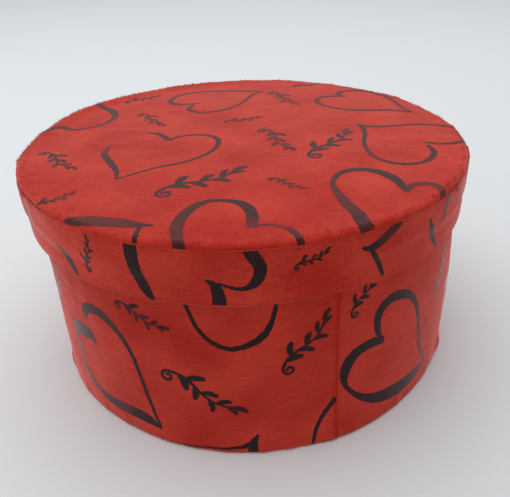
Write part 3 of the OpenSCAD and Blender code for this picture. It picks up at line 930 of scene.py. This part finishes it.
def print_strokes(node):
    """Every stroke on a cloth: its rows, the function that lays it, and the step of its rings."""
    hearts, sprigs, lay_for, repeats = PRINTS[node]
    strokes = [(np.array(heart, float), HEART_STEP) for heart in hearts]
    strokes += [(rows, SPRIG_STEP) for rows in sprig_strokes(sprigs)]
    return [(rows, lay_for(degrees), step) for degrees in repeats for rows, step in strokes]


# The nap: how far the pile of a cloth stands, from about 0 where it is crushed to 1. Its value also
# holds painted shade along seams, along the rim's fold and at the lid's front

# Patches on the lid where its nap value drops: place, half width, half length, direction and depth. The
# long last one, at the front, is painted shade that darkens the lid towards its front edge; the others
# are crushed pile
LID_CRUSHES_AND_SHADE = [
    ((-71, 3, lid_top), 5.5, 10, 62, 0.6), ((-60, 14, lid_top), 4.5, 12, 4, 0.5),
    ((-57, -2, lid_top), 5, 9, 10, 0.45), ((-60, -70, lid_top), 7, 16, 35, 0.25),
    # Painted shade: the lid's top drawn darker towards its front edge
    ((20, -92, lid_top), 15, 80, 0, 0.2),
]
# Stretches of the rim band whose nap value is lowered at the front and raised at the front left, so its
# red is deeper at the one and paler at the other
RIM_TONE_SHIFTS = [((14, -103, 90), 10, 30, 8, 0.25), ((-68, -79, 92), 12, 25, -49, -0.2)]
# Nap of untouched pile, how far soft clouds vary it, and half the height of a patch
NAP_MEAN = 0.55
NAP_CLOUDS = 0.17
PATCH_TALL = 12.0
# How much more the print on the lid's top is rubbed
TOP_RUB = 0.06


def nap_with_crushes_and_shade(patches, fold=None):
    """Nap of a cloth: soft random clouds, less a Gaussian of the distance from each patch.

    A patch is broken up by random brush strokes, 0.75 plus 0.6 times a field of them. Along a
    fold at the given height the value drops too, as a Gaussian of the height: painted shade.
    """
    clouds = waves(seed=31, count=18, shortest=14, longest=45)
    brushed = waves(seed=37, count=30, shortest=2, longest=8, stretch=(1, 1.6, 1))

    def nap(places):
        places = np.reshape(places, (-1, 3))
        value = NAP_MEAN + NAP_CLOUDS * clouds(places)
        broken = 0.75 + 0.6 * brushed(places)
        for place, wide, long, degrees, depth in patches:
            apart = places - np.array(place)
            turn = radians(degrees)
            lengthwise = apart[:, 0] * cos(turn) + apart[:, 1] * sin(turn)
            sideways = apart[:, 1] * cos(turn) - apart[:, 0] * sin(turn)
            inside = hump(lengthwise / long, sideways / wide, apart[:, UPWARD] / PATCH_TALL)
            value -= depth * broken * inside
        if fold is not None:
            # Painted shade along the rim's fold, which dims its pale edge
            value -= FOLD_SHADE_DEPTH * hump((places[:, UPWARD] - fold) / RIM_FOLD_R)
        return value

    return nap


# Nap of each cloth, with its painted shade
NAP_AND_SHADE = {
    "wall_cloth": nap_with_crushes_and_shade([]),
    "lid_rim_cloth": nap_with_crushes_and_shade(RIM_TONE_SHIFTS, fold=rim_low),
    "lid_top_cloth": nap_with_crushes_and_shade(LID_CRUSHES_AND_SHADE),
}


# The pile: fibres that stand off the cloth, in tufts

STRANDS = 6
TUFT_SPREAD = 0.28
# Spread of the directions and slopes of tufts and of a tuft's fibres, in radians
TUFT_WAYS = 1.1
FIBRE_WAYS = 0.35
FIBRE_SLOPES = 0.02
# Ends of half a fibre's thickness, and its greatest length as a share of the mean
FIBRE_HALF = (0.04, 0.08)
LONGEST_FIBRE = 1.7
# Seeds of the tufts' places and of the fibres, for the first cloth
TUFT_SEED = 41
FIBRE_SEED = 51
# Steps from row to row and margin, where tufts under the print are looked for
COVER_STEPS = 8
COVER_MARGIN = 5.0


def under_print(node, turn, along):
    """Whether places on a cloth are covered by its print, a little inside its edges."""
    covered = np.zeros(len(turn), bool)
    around = body_r if node == "wall_cloth" else lid_r
    for rows, lay, _ in print_strokes(node):
        share = np.linspace(0, len(rows) - 1, COVER_STEPS * (len(rows) - 1) + 1)
        here = flow(rows, share)[0]
        line_turn, line_along, _ = lay(here[:, :2])
        if node == "lid_top_cloth":
            line = round_place(line_turn, line_along, 0)[:, :2]
            spots = round_place(turn, along, 0)[:, :2]
        else:
            middle = line_turn.mean()
            line = np.stack([(line_turn - middle) * around, line_along], axis=1)
            spots = np.stack([turn_between(turn, middle) * around, along], axis=1)
        low, high = line.min(0) - COVER_MARGIN, line.max(0) + COVER_MARGIN
        near = ((spots > low) & (spots < high)).all(axis=1)
        if near.any():
            gaps = np.linalg.norm(spots[near][:, None] - line[None], axis=-1)
            covered[near] |= (gaps < here[:, 2] / 2 * PRINT_UNIT - PRINT_MARGIN).any(axis=1)
    return covered


def fibre_shape(cloth, node, tufts, length, seed):
    """Fibres in tufts: each is a thin spike, a small triangle in the cloth and a tip.

    Fibres of a tuft stand close together and lean one way. A tuft rises by 0.12 radians and
    by a random share of 0.16 plus 0.4 times its stand, so 7 to 16 degrees on the faces and up
    to 57 at the edges. Its length is log-normal, times 0.6 plus 0.45 times its stand. Normals
    are nearly the cloth's own, so that a fibre is lit as the cloth under it is.
    """
    draw = np.random.default_rng(seed)
    turn, along, stand = tufts
    bare = ~under_print(node, turn, along)
    tufts_here = int(bare.sum())
    count = tufts_here * STRANDS

    def strands(values, spread):
        return np.repeat(values, STRANDS) + draw.normal(0, spread, count)

    stand = stand[bare]
    turn = cloth.top_turn(strands(turn[bare], TUFT_SPREAD / body_r))
    along = np.clip(strands(along[bare], TUFT_SPREAD), max(0.05, cloth.along[0]), cloth.along[-1])
    out, run, aside = cloth.frame_at(turn, along)
    heading = strands(draw.normal(0, TUFT_WAYS, tufts_here), FIBRE_WAYS)[:, None]
    way = np.cos(heading) * run + np.sin(heading) * aside
    rise = 0.12 + (0.16 + 0.4 * stand) * draw.uniform(0, 1, tufts_here)
    rise = np.clip(strands(rise, FIBRE_SLOPES), 0.08, 1.0)[:, None]
    tip_way = np.sin(rise) * out + np.cos(rise) * way
    across = unit(np.cross(tip_way, out))
    root = cloth.point(turn, along, -0.02)
    shade = NAP_AND_SHADE[node](root) + draw.normal(0, 0.06, count)
    tall = np.repeat(draw.lognormal(-0.1, 0.3, tufts_here) * (0.6 + 0.45 * stand), STRANDS)
    reach_out = length * np.minimum(tall, LONGEST_FIBRE) * draw.uniform(0.7, 1.1, count)
    half = draw.uniform(*FIBRE_HALF, count)[:, None]
    tip = root + tip_way * reach_out[:, None]
    tip[:, UPWARD] = np.maximum(tip[:, UPWARD], TIP_LIFT)
    foot = [root + across * half, root - across * half, root - out * 2 * half]
    corners = np.stack([*foot, tip], axis=1)
    first = np.arange(count)[:, None] * 4
    faces = [first + side for side in ([[0, 1, 3]], [[1, 2, 3]], [[2, 0, 3]], [[0, 2, 1]])]
    shape = Shape()
    weave = np.stack([turn * body_r, along], axis=1)
    shape.add(corners, faces, np.repeat(weave, 4, axis=0), np.repeat(shade, 4))
    shape.normal_parts.append(unit(np.repeat(out + 0.15 * tip_way, 4, axis=0)))
    return shape


def region(fibres, low, high, stand=0.0, first=-180, last=180, power=1):
    """Stretch of a cloth that bears a number of fibres.

    It runs from a low to a high distance along the cloth, and from a first to a last turn in
    degrees. Stand says how far its tufts stand off, from 0 to 2. Power is 2 where distances
    are from the middle of a disc, so that the fibres are as close there as further out.
    """
    return fibres, low, high, stand, first, last, power


def pile_regions():
    """Stretches with fibres on each cloth: thin over its face, and thicker along its edges."""
    foot = wall_cloth_along(0)
    return {
        "wall_cloth": [region(24000, wall_cloth_along(body_top - 2), foot),
                       region(4000, foot - 3, foot + 2, stand=0.6)],
        "lid_rim_cloth": [region(10000, 0.2, band_h), region(4000, 0.05, 1.2, stand=0.4)],
        "lid_top_cloth": [
            region(16000, 4, skirt_r, power=2),
            region(9000, skirt_r - 3, skirt_r + 1.4, stand=0.5),
            region(6000, skirt_r - 1, skirt_r + 1.6, stand=1.9, first=-165, last=-80),
            region(3000, skirt_r - 1, skirt_r + 1.6, stand=1.4, first=95, last=195)],
    }


def scatter(seed, regions, share):
    """Random turns and distances of tufts, and how far they stand, for a share of the fibres."""
    draw = np.random.default_rng(seed)
    turns, alongs, stands = [], [], []
    for fibres, low, high, stand, first, last, power in regions:
        tufts_here = int(fibres * share) // STRANDS
        turns.append(draw.uniform(radians(first), radians(last), tufts_here))
        alongs.append(draw.uniform(low ** power, high ** power, tufts_here) ** (1 / power))
        stands.append(np.full(tufts_here, float(stand)))
    return np.concatenate(turns), np.concatenate(alongs), np.concatenate(stands)


# Materials


def add(tree, kind, inputs=None, **settings):
    """Adds a node with its settings. An input is a value, or a node and its output's name."""
    node = tree.nodes.new(kind)
    for key, value in settings.items():
        setattr(node, key, value)
    for key, value in (inputs or {}).items():
        if isinstance(value, tuple) and isinstance(value[0], bpy.types.Node):
            tree.links.new(value[0].outputs[value[1]], node.inputs[key])
        else:
            node.inputs[key].default_value = value
    return node


def new_material(name):
    """Empty node material."""
    material = bpy.data.materials.new(name)
    material.use_nodes = True
    material.node_tree.nodes.clear()
    return material


def with_surface(material, inputs):
    """Ends a material with the shader of its surface, whose inputs are values or links."""
    surface = add(material.node_tree, "ShaderNodeBsdfPrincipled", inputs)
    add(material.node_tree, "ShaderNodeOutputMaterial", {"Surface": (surface, "BSDF")})
    return material


def mottle(tree, coords, size, detail=2.0, stretch=(1, 1, 1)):
    """Value of a noise whose spots are about size across, in the units of its coordinates."""
    scale = tuple(1 / (size * k) for k in stretch)
    mapped = add(tree, "ShaderNodeMapping", {"Vector": coords, "Scale": scale})
    inputs = {"Vector": (mapped, "Vector"), "Scale": 1.0, "Detail": detail}
    return add(tree, "ShaderNodeTexNoise", inputs), "Fac"


def blend_of(tree, low, high, *weighted):
    """Mix factor: the sum of each value times its weight, taken from a low to a high one."""
    total = None
    for value, weight in weighted:
        part = add(tree, "ShaderNodeMath", {0: value, 1: weight}, operation="MULTIPLY")
        total = part if total is None else add(tree, "ShaderNodeMath", {0: (total, 0), 1: (part, 0)})
    inputs = {"Value": (total, 0), "From Min": low, "From Max": high}
    return add(tree, "ShaderNodeMapRange", inputs), "Result"


# Share of the raised cloth's red, green and blue where the nap value is low: crushed pile, with the
# sheen that it loses painted in as a deeper red, and painted shade
PRESSED_AND_SHADE_SHARES = (0.66, 0.2, 0.2)
# Finishes of the cloth and of the print. The sheen is the light that tips of fibres scatter
CLOTH_FINISH = {"Roughness": 0.9, "Specular IOR Level": 0.02, "Sheen Weight": 0.85,
                "Sheen Roughness": 0.38, "Sheen Tint": opaque(linear("#ffa49e"))}
FULL_FLOCK = {"Roughness": 0.34, "IOR": 1.18, "Sheen Weight": 0.95,
              "Sheen Roughness": 0.29, "Sheen Tint": opaque(linear("#ffced4"))}
RUBBED_FLOCK = {"Roughness": 0.42, "IOR": 1.2, "Sheen Weight": 0.36,
                "Sheen Roughness": 0.4, "Sheen Tint": opaque(linear("#ff8989"))}


def brushed_cloth(name, dark, light):
    """Brushed flannel: cotton cloth whose raised pile scatters light and pales when seen flat.

    Streaks of the brushing run round the box, 7 mm long and 1 mm wide. Tufts of pile are
    drawn 1.2 mm across, coarser than real ones, which wouldn't show. Where the nap value is
    low the red is deeper. On crushed pile that is real, and the sheen that the pile loses is
    painted in as colour too; along seams, the rim's fold and the lid's front it is painted shade.
    """
    material = new_material(name)
    tree = material.node_tree
    coords = (add(tree, "ShaderNodeUVMap", uv_map="weave"), "UV")
    streaks = mottle(tree, coords, size=1.0, stretch=(7, 1, 1))
    tufts = mottle(tree, coords, size=1.2, detail=3.0)
    patches = mottle(tree, coords, size=22.0)
    nap = (add(tree, "ShaderNodeAttribute", attribute_name="nap"), "Fac")
    lying = (add(tree, "ShaderNodeMath", {0: nap, 1: 0.4}, operation="MAXIMUM"), 0)
    pale = blend_of(tree, 0.7, 1.5, (streaks, 0.4), (tufts, 0.4), (patches, 0.55), (lying, 0.8))
    tone = add(tree, "ShaderNodeMix", {"Factor": pale, "A": opaque(dark), "B": opaque(light)},
               data_type="RGBA")
    # Painted colour: a deeper red where the nap value is low, in place of the sheen that crushed pile
    # loses, and as painted shade
    upright_and_unshaded = add(tree, "ShaderNodeMapRange", {"Value": nap, "From Min": 0.0, "From Max": 0.45})
    pressed = opaque(part * share for part, share in zip(light, PRESSED_AND_SHADE_SHARES))
    colour = add(tree, "ShaderNodeMix", {"Factor": (upright_and_unshaded, "Result"), "A": pressed,
                                         "B": (tone, "Result")}, data_type="RGBA")
    ridges = blend_of(tree, 0.2, 0.9, (streaks, 0.3), (tufts, 0.7))
    relief = add(tree, "ShaderNodeBump", {"Height": ridges, "Distance": 0.3 * MM, "Strength": 0.5})
    return with_surface(material, {"Base Color": (colour, "Result"), "Normal": (relief, "Normal"),
                                   **CLOTH_FINISH})


def flock_print(name, colour, worn, finish):
    """Flock print: a film of black flock on the pile, dull from above and grey when seen flat.

    Its grain is drawn 0.8 mm across, coarser than the real one, which wouldn't show. Where
    the nap is crushed the flock is rubbed off, and the cloth's red shows.
    """
    material = new_material(name)
    tree = material.node_tree
    coords = (add(tree, "ShaderNodeUVMap", uv_map="weave"), "UV")
    grain = mottle(tree, coords, size=0.8, detail=3.0)
    pale = opaque(part * 2.2 + 0.002 for part in colour)
    tone = add(tree, "ShaderNodeMix", {"Factor": blend_of(tree, 0.3, 0.7, (grain, 1.0)),
                                       "A": opaque(colour), "B": pale}, data_type="RGBA")
    nap = (add(tree, "ShaderNodeAttribute", attribute_name="nap"), "Fac")
    kept = blend_of(tree, 0.08, 0.48, (nap, 0.6), (grain, 0.4))
    rubbed = add(tree, "ShaderNodeMix", {"Factor": kept, "A": opaque(worn), "B": (tone, "Result")},
                 data_type="RGBA")
    relief = add(tree, "ShaderNodeBump", {"Height": grain, "Distance": 0.08 * MM, "Strength": 0.4})
    return with_surface(material, {"Base Color": (rubbed, "Result"), "Normal": (relief, "Normal"),
                                   **finish})


def pressed_fibres(name, colour, darker, ends, patterns, relief, finish):
    """Sheet of pressed fibres: its colour, darker in spots, with the finest pattern raised.

    Each pattern is a size in mm, a detail, a stretch along the axes and a weight. The ends
    are the sums of the patterns at which the sheet is darkest and palest.
    """
    material = new_material(name)
    tree = material.node_tree
    coords = (add(tree, "ShaderNodeTexCoord"), "Object")
    weighted = [(mottle(tree, coords, size * MM, detail, stretch), weight)
                for size, detail, stretch, weight in patterns]
    dark = opaque(part * darker for part in colour)
    tone = add(tree, "ShaderNodeMix", {"Factor": blend_of(tree, *ends, *weighted), "A": dark,
                                       "B": opaque(colour)}, data_type="RGBA")
    raised = add(tree, "ShaderNodeBump", {"Height": weighted[0][0], "Distance": relief * MM,
                                          "Strength": 0.5})
    return with_surface(material, {"Base Color": (tone, "Result"), "Normal": (raised, "Normal"),
                                   **finish})


def pressed_board(name, colour):
    """Greyboard: pressed waste paper, dull, with darker flecks of fibre about 1 mm long."""
    flecks, clouds = (1.0, 4.0, (1, 1, 1), 0.9), (14, 2.0, (1, 1, 1), 0.5)
    return pressed_fibres(name, colour, 0.72, (0.45, 1.0), [flecks, clouds], 0.08,
                          {"Roughness": 0.9, "Specular IOR Level": 0.3})


def kraft_tape(name, colour):
    """Gummed kraft tape: smooth brown paper with long pale fibres and a slight shine."""
    fibres = (0.7, 3.0, (1, 1, 9), 1.0)
    return pressed_fibres(name, colour, 0.8, (0.3, 0.7), [fibres], 0.03,
                          {"Roughness": 0.55, "Specular IOR Level": 0.45})


def lining_paper(name, colour):
    """Lining paper: matt uncoated paper, faintly cloudy, with a fine tooth."""
    tooth, clouds = (0.9, 3.0, (1, 1, 1), 0.35), (18, 3.0, (1, 1, 1), 0.85)
    return pressed_fibres(name, colour, 0.9, (0.35, 0.85), [tooth, clouds], 0.04,
                          {"Roughness": 0.8, "Specular IOR Level": 0.35})


def kept_material(name, make, *details):
    """The material of that name, made the first time that it is asked for."""
    return bpy.data.materials.get(name) or make(name, *details)


def red_cloth_material(context):
    """Red brushed flannel, in the colours of the settings."""
    looks = context.scene.gift_box_colours
    reds = tuple(looks.cloth_dark), tuple(looks.cloth_light)
    return kept_material("brushed_flannel", brushed_cloth, *reds)


def print_material(context, rubbed=False):
    """Black flock: full and pale at the sides, or thinned by hands on the lid's top.

    Where it is thinned, the cloth's red shows through it.
    """
    looks = context.scene.gift_box_colours
    colours = tuple(looks.print_colour), tuple(looks.cloth_dark)
    name, finish = ("rubbed_black_flock", RUBBED_FLOCK) if rubbed else ("black_flock", FULL_FLOCK)
    return kept_material(name, flock_print, *colours, finish)


# Settings that a user would change


def colour_of(name, description, code):
    """Property of a colour, with its default written as sRGB hex."""
    return bpy.props.FloatVectorProperty(name=name, description=description, subtype="COLOR",
                                         size=3, min=0, max=1, default=linear(code))


def length_of(name, description, millimetres):
    """Property of a length, with its default in millimetres."""
    return bpy.props.FloatProperty(name=name, description=description, unit="LENGTH",
                                   default=millimetres * MM, min=0, precision=5)


def number_of(name, description, default, least=0.0, **kind):
    """Property of a plain number, a power or a share."""
    return bpy.props.FloatProperty(name=name, description=description, default=default,
                                   min=least, **kind)


class GiftBoxCloth(bpy.types.PropertyGroup):
    """Sizes of the cloth work."""

    wrinkle_height: length_of("Wrinkle height", "Height of the soft waves in the glued cloth", 0.3)
    tuck_height: length_of("Tuck height", "Height of the tucks where cloth turns an edge", 0.5)
    seam_rise: length_of("Seam rise", "How far the upper end of a cloth stands on the lower one", 0.3)
    corner_lift: length_of("Corner lift", "How far the band's upper corner stands off at its seam", 0.3)
    edge_roll: length_of("Edge roll", "How far the top cloth bulges where it turns down", 0.5)
    edge_press: length_of("Edge press", "How far the band's upper edge is pressed in", 0.1)
    print_height: length_of("Print height", "Height of the print above the cloth", 0.13)
    pile_length: length_of("Pile length", "Mean length of the fibres that stand off the cloth", 1.0)
    pile_share: number_of("Pile share", "How many of the fibres are made", 1.0, 0.05, max=1.0,
                          subtype="FACTOR")


class GiftBoxColours(bpy.types.PropertyGroup):
    """Colours of the box."""

    cloth_dark: colour_of("Cloth, crushed", "Red of the cloth where its pile lies down", "#981a12")
    cloth_light: colour_of("Cloth, raised", "Red of the cloth where its pile stands", "#c74032")
    print_colour: colour_of("Print", "Black of the print", "#1c0d0e")
    board_colour: colour_of("Greyboard", "Colour of the board", "#a79a86")
    tape_colour: colour_of("Tape", "Colour of the gummed tape", "#b98f5c")
    lining_colour: colour_of("Lining", "Colour of the lining paper", "#efe9dd")
    cover_colour: colour_of("Base cover", "Colour of the paper under the base", "#e6dfd0")


class GiftBoxStage(bpy.types.PropertyGroup):
    """The floor, the light and the camera."""

    floor_colour: colour_of("Floor", "Colour of the floor", "#dee2e4")
    key_power: number_of("Key light", "Power of the large soft lamp at the back left", 12.2,
                         unit="POWER")
    side_power: number_of("Side light", "Power of the soft lamp at the left", 1.8, unit="POWER")
    sky_strength: number_of("Room light", "Strength of the even light from all round", 0.59)
    backdrop_strength: number_of("Backdrop", "Brightness of the room where it is seen", 0.78)
    lens: number_of("Lens", "Focal length of the camera in millimetres", 43.37, 10.0)


# Operators


def dress_cloth(context, node, shape_of, around, name):
    """Makes the piece of a cloth, which takes the place of the cloth's node of the frame."""
    shape = shape_of(the_cloths(context.scene.gift_box_cloth)[node], around, NAP_AND_SHADE[node])
    make_piece(name, shape, red_cloth_material(context), BODIES[node], [node])
    return {"FINISHED"}


class GIFTBOX_OT_wall_cloth(bpy.types.Operator):
    """Makes the cloth round the wall, with its seam and its turned-in edges"""

    bl_idname = "gift_box.wall_cloth"
    bl_label = "Wall cloth"

    def execute(self, context):
        return dress_cloth(context, "wall_cloth", band_shape, WALL_TURNS, "wall_cloth_wrap")


class GIFTBOX_OT_rim_band(bpy.types.Operator):
    """Makes the cloth band round the lid's rim, with its seam and its loose corner"""

    bl_idname = "gift_box.rim_band"
    bl_label = "Rim band"

    def execute(self, context):
        return dress_cloth(context, "lid_rim_cloth", band_shape, LID_TURNS, "lid_rim_band")


class GIFTBOX_OT_top_cloth(bpy.types.Operator):
    """Makes the round cloth over the lid's top, with tucks where it turns down"""

    bl_idname = "gift_box.top_cloth"
    bl_label = "Lid top cloth"

    def execute(self, context):
        return dress_cloth(context, "lid_top_cloth", disc_shape, LID_TURNS, "lid_top_cover")


class GIFTBOX_OT_prints(bpy.types.Operator):
    """Lays the print on the cloths: hearts, with small sprigs between them"""

    bl_idname = "gift_box.prints"
    bl_label = "Prints"

    def execute(self, context):
        looks = context.scene.gift_box_cloth
        for node, cloth in the_cloths(looks).items():
            shape = Shape()
            nap = NAP_AND_SHADE[node]
            on_top = node == "lid_top_cloth"
            rub = TOP_RUB if on_top else 0.0
            for rows, lay, step in print_strokes(node):
                stroke_mesh(shape, cloth, rows, lay, looks.print_height / MM, step,
                            lambda places: nap(places) - rub)
            make_piece(node.replace("_cloth", "_hearts"), shape, print_material(context, on_top),
                       BODIES[node], [node.replace("_cloth", "_print")])
        return {"FINISHED"}


class GIFTBOX_OT_pile(bpy.types.Operator):
    """Sets fibres on the cloths: thin on their faces, thick at their edges"""

    bl_idname = "gift_box.pile"
    bl_label = "Pile"

    def execute(self, context):
        looks = context.scene.gift_box_cloth
        cloths = the_cloths(looks)
        for index, (node, regions) in enumerate(pile_regions().items()):
            tufts = scatter(TUFT_SEED + index, regions, looks.pile_share)
            shape = fibre_shape(cloths[node], node, tufts, looks.pile_length / MM, FIBRE_SEED + index)
            make_piece(node.replace("_cloth", "_pile"), shape, red_cloth_material(context),
                       BODIES[node])
        return {"FINISHED"}


class GIFTBOX_OT_boards_and_paper(bpy.types.Operator):
    """Gives the boards, the tape and the papers of the frame their materials"""

    bl_idname = "gift_box.boards_and_paper"
    bl_label = "Boards and paper"

    def execute(self, context):
        looks = context.scene.gift_box_colours
        made = {
            "greyboard": kept_material("greyboard", pressed_board, tuple(looks.board_colour)),
            "gummed_tape": kept_material("kraft_tape", kraft_tape, tuple(looks.tape_colour)),
            "lining_paper": kept_material("lining_paper", lining_paper, tuple(looks.lining_colour)),
            "cover_paper": kept_material("cover_paper", lining_paper, tuple(looks.cover_colour)),
            "red_cloth": red_cloth_material(context),
            "black_print": print_material(context),
        }
        for part in frame["record"]["subparts"]:
            data = frame["nodes"][part["node"]].data
            data.materials.clear()
            data.materials.append(made[part["material_slot"]])
        return {"FINISHED"}


# Camera: its place in mm from the middle of the base, and how it is held

CAMERA_PLACE = Vector((0.0, -285.33, 209.22))
CAMERA_PITCH = radians(30.30)
CAMERA_YAW = radians(3.96)
CAMERA_ROLL = radians(-1.04)
# Share of the picture's width by which the middle of the view lies beside the picture's middle
CAMERA_SHIFT = -35 / 510


def camera_matrix():
    """Camera that looks ahead turned by its yaw to the right, down by its pitch, and rolled."""
    ahead = Vector((sin(CAMERA_YAW) * cos(CAMERA_PITCH), cos(CAMERA_YAW) * cos(CAMERA_PITCH),
                    -sin(CAMERA_PITCH)))
    level = Vector((cos(CAMERA_YAW), -sin(CAMERA_YAW), 0.0))
    above = level.cross(ahead)
    right = level * cos(CAMERA_ROLL) + above * sin(CAMERA_ROLL)
    up = above * cos(CAMERA_ROLL) - level * sin(CAMERA_ROLL)
    matrix = Matrix((right, up, -ahead)).transposed().to_4x4()
    matrix.translation = CAMERA_PLACE * MM
    return matrix


def soft_lamp(name, place, power, size):
    """Square soft lamp that faces the middle of the box. Its place and size are in metres."""
    light = bpy.data.lights.new(name, "AREA")
    light.energy = power
    light.size = size
    lamp = bpy.data.objects.new(name, light)
    lamp.location = place
    lamp.rotation_euler = (Vector((0, 0, 0.05)) - lamp.location).to_track_quat("-Z", "Y").to_euler()
    bpy.context.scene.collection.objects.link(lamp)


def floor_mesh(half):
    """Square floor at height 0, as a grid of places (x, y, 0), with half its side in metres."""
    line = np.linspace(-half, half, 9)
    x, y = np.meshgrid(line, line, indexing="ij")
    data = bpy.data.meshes.new("floor")
    places = np.stack([x, y, np.zeros_like(x)], axis=-1).reshape(-1, 3)
    data.from_pydata(places.tolist(), [], grid_faces(9, 9)[:, ::-1].tolist())
    data.update()
    return data


def seen_strength(tree, light, seen):
    """Strength of the room: one value as light, and one where it is seen or mirrored."""
    path = add(tree, "ShaderNodeLightPath")
    shown = (path, "Is Camera Ray")
    for ray in ("Is Glossy Ray", "Is Transmission Ray"):
        shown = (add(tree, "ShaderNodeMath", {0: shown, 1: (path, ray)}, operation="MAXIMUM"), 0)
    return add(tree, "ShaderNodeMapRange", {"Value": shown, "To Min": light, "To Max": seen})


class GIFTBOX_OT_stage(bpy.types.Operator):
    """Makes the floor, the soft light and the camera"""

    bl_idname = "gift_box.stage"
    bl_label = "Stage"

    def execute(self, context):
        looks = context.scene.gift_box_stage
        scene = context.scene
        material = new_material("pale_floor")
        with_surface(material, {"Base Color": opaque(looks.floor_colour), "Roughness": 0.9,
                                "Specular IOR Level": 0.1})
        data = floor_mesh(6.0)
        data.materials.append(material)
        floor = bpy.data.objects.new("floor", data)
        scene.collection.objects.link(floor)
        soft_lamp("key_lamp", (-0.14, 0.25, 1.35), looks.key_power, 1.8)
        soft_lamp("side_lamp", (-1.1, -0.1, 0.55), looks.side_power, 0.9)
        world = bpy.data.worlds.new("room")
        world.use_nodes = True
        world.node_tree.nodes.clear()
        strength = seen_strength(world.node_tree, looks.sky_strength, looks.backdrop_strength)
        sky = add(world.node_tree, "ShaderNodeBackground",
                  {"Color": (1.0, 1.0, 1.0, 1.0), "Strength": (strength, 0)})
        add(world.node_tree, "ShaderNodeOutputWorld", {"Surface": (sky, "Background")})
        scene.world = world
        scene.view_settings.view_transform = "Standard"
        camera = bpy.data.cameras.new("camera")
        camera.lens = looks.lens
        camera.shift_x = CAMERA_SHIFT
        camera.clip_start = 0.01
        holder = bpy.data.objects.new("camera", camera)
        holder.matrix_world = camera_matrix()
        scene.collection.objects.link(holder)
        scene.camera = holder
        return {"FINISHED"}


STEPS = [GIFTBOX_OT_boards_and_paper, GIFTBOX_OT_wall_cloth, GIFTBOX_OT_rim_band, GIFTBOX_OT_top_cloth,
         GIFTBOX_OT_prints, GIFTBOX_OT_pile, GIFTBOX_OT_stage]


class GIFTBOX_PT_looks(bpy.types.Panel):
    """Lists the pieces of the box and their settings"""

    bl_idname = "GIFTBOX_PT_looks"
    bl_label = "Gift Box"
    bl_space_type = "VIEW_3D"
    bl_region_type = "UI"
    bl_category = "Gift Box"

    def draw(self, context):
        for group in (context.scene.gift_box_cloth, context.scene.gift_box_colours,
                      context.scene.gift_box_stage):
            for key in group.bl_rna.properties.keys():
                if key not in {"rna_type", "name"}:
                    self.layout.prop(group, key)
        for step in STEPS:
            self.layout.operator(step.bl_idname)


GROUPS = {"gift_box_cloth": GiftBoxCloth, "gift_box_colours": GiftBoxColours,
          "gift_box_stage": GiftBoxStage}


def register():
    """Makes the settings, the operators and the panel known to Blender."""
    for kind in (*GROUPS.values(), *STEPS, GIFTBOX_PT_looks):
        bpy.utils.register_class(kind)
    for name, kind in GROUPS.items():
        setattr(bpy.types.Scene, name, bpy.props.PointerProperty(type=kind))


def unregister():
    """Takes away what register made."""
    for name in GROUPS:
        delattr(bpy.types.Scene, name)
    for kind in (GIFTBOX_PT_looks, *reversed(STEPS), *GROUPS.values()):
        bpy.utils.unregister_class(kind)


def main():
    """Makes every piece in order."""
    register()
    bpy.ops.gift_box.boards_and_paper()
    bpy.ops.gift_box.wall_cloth()
    bpy.ops.gift_box.rim_band()
    bpy.ops.gift_box.top_cloth()
    bpy.ops.gift_box.prints()
    bpy.ops.gift_box.pile()
    bpy.ops.gift_box.stage()


if __name__ == "__main__":
    main()
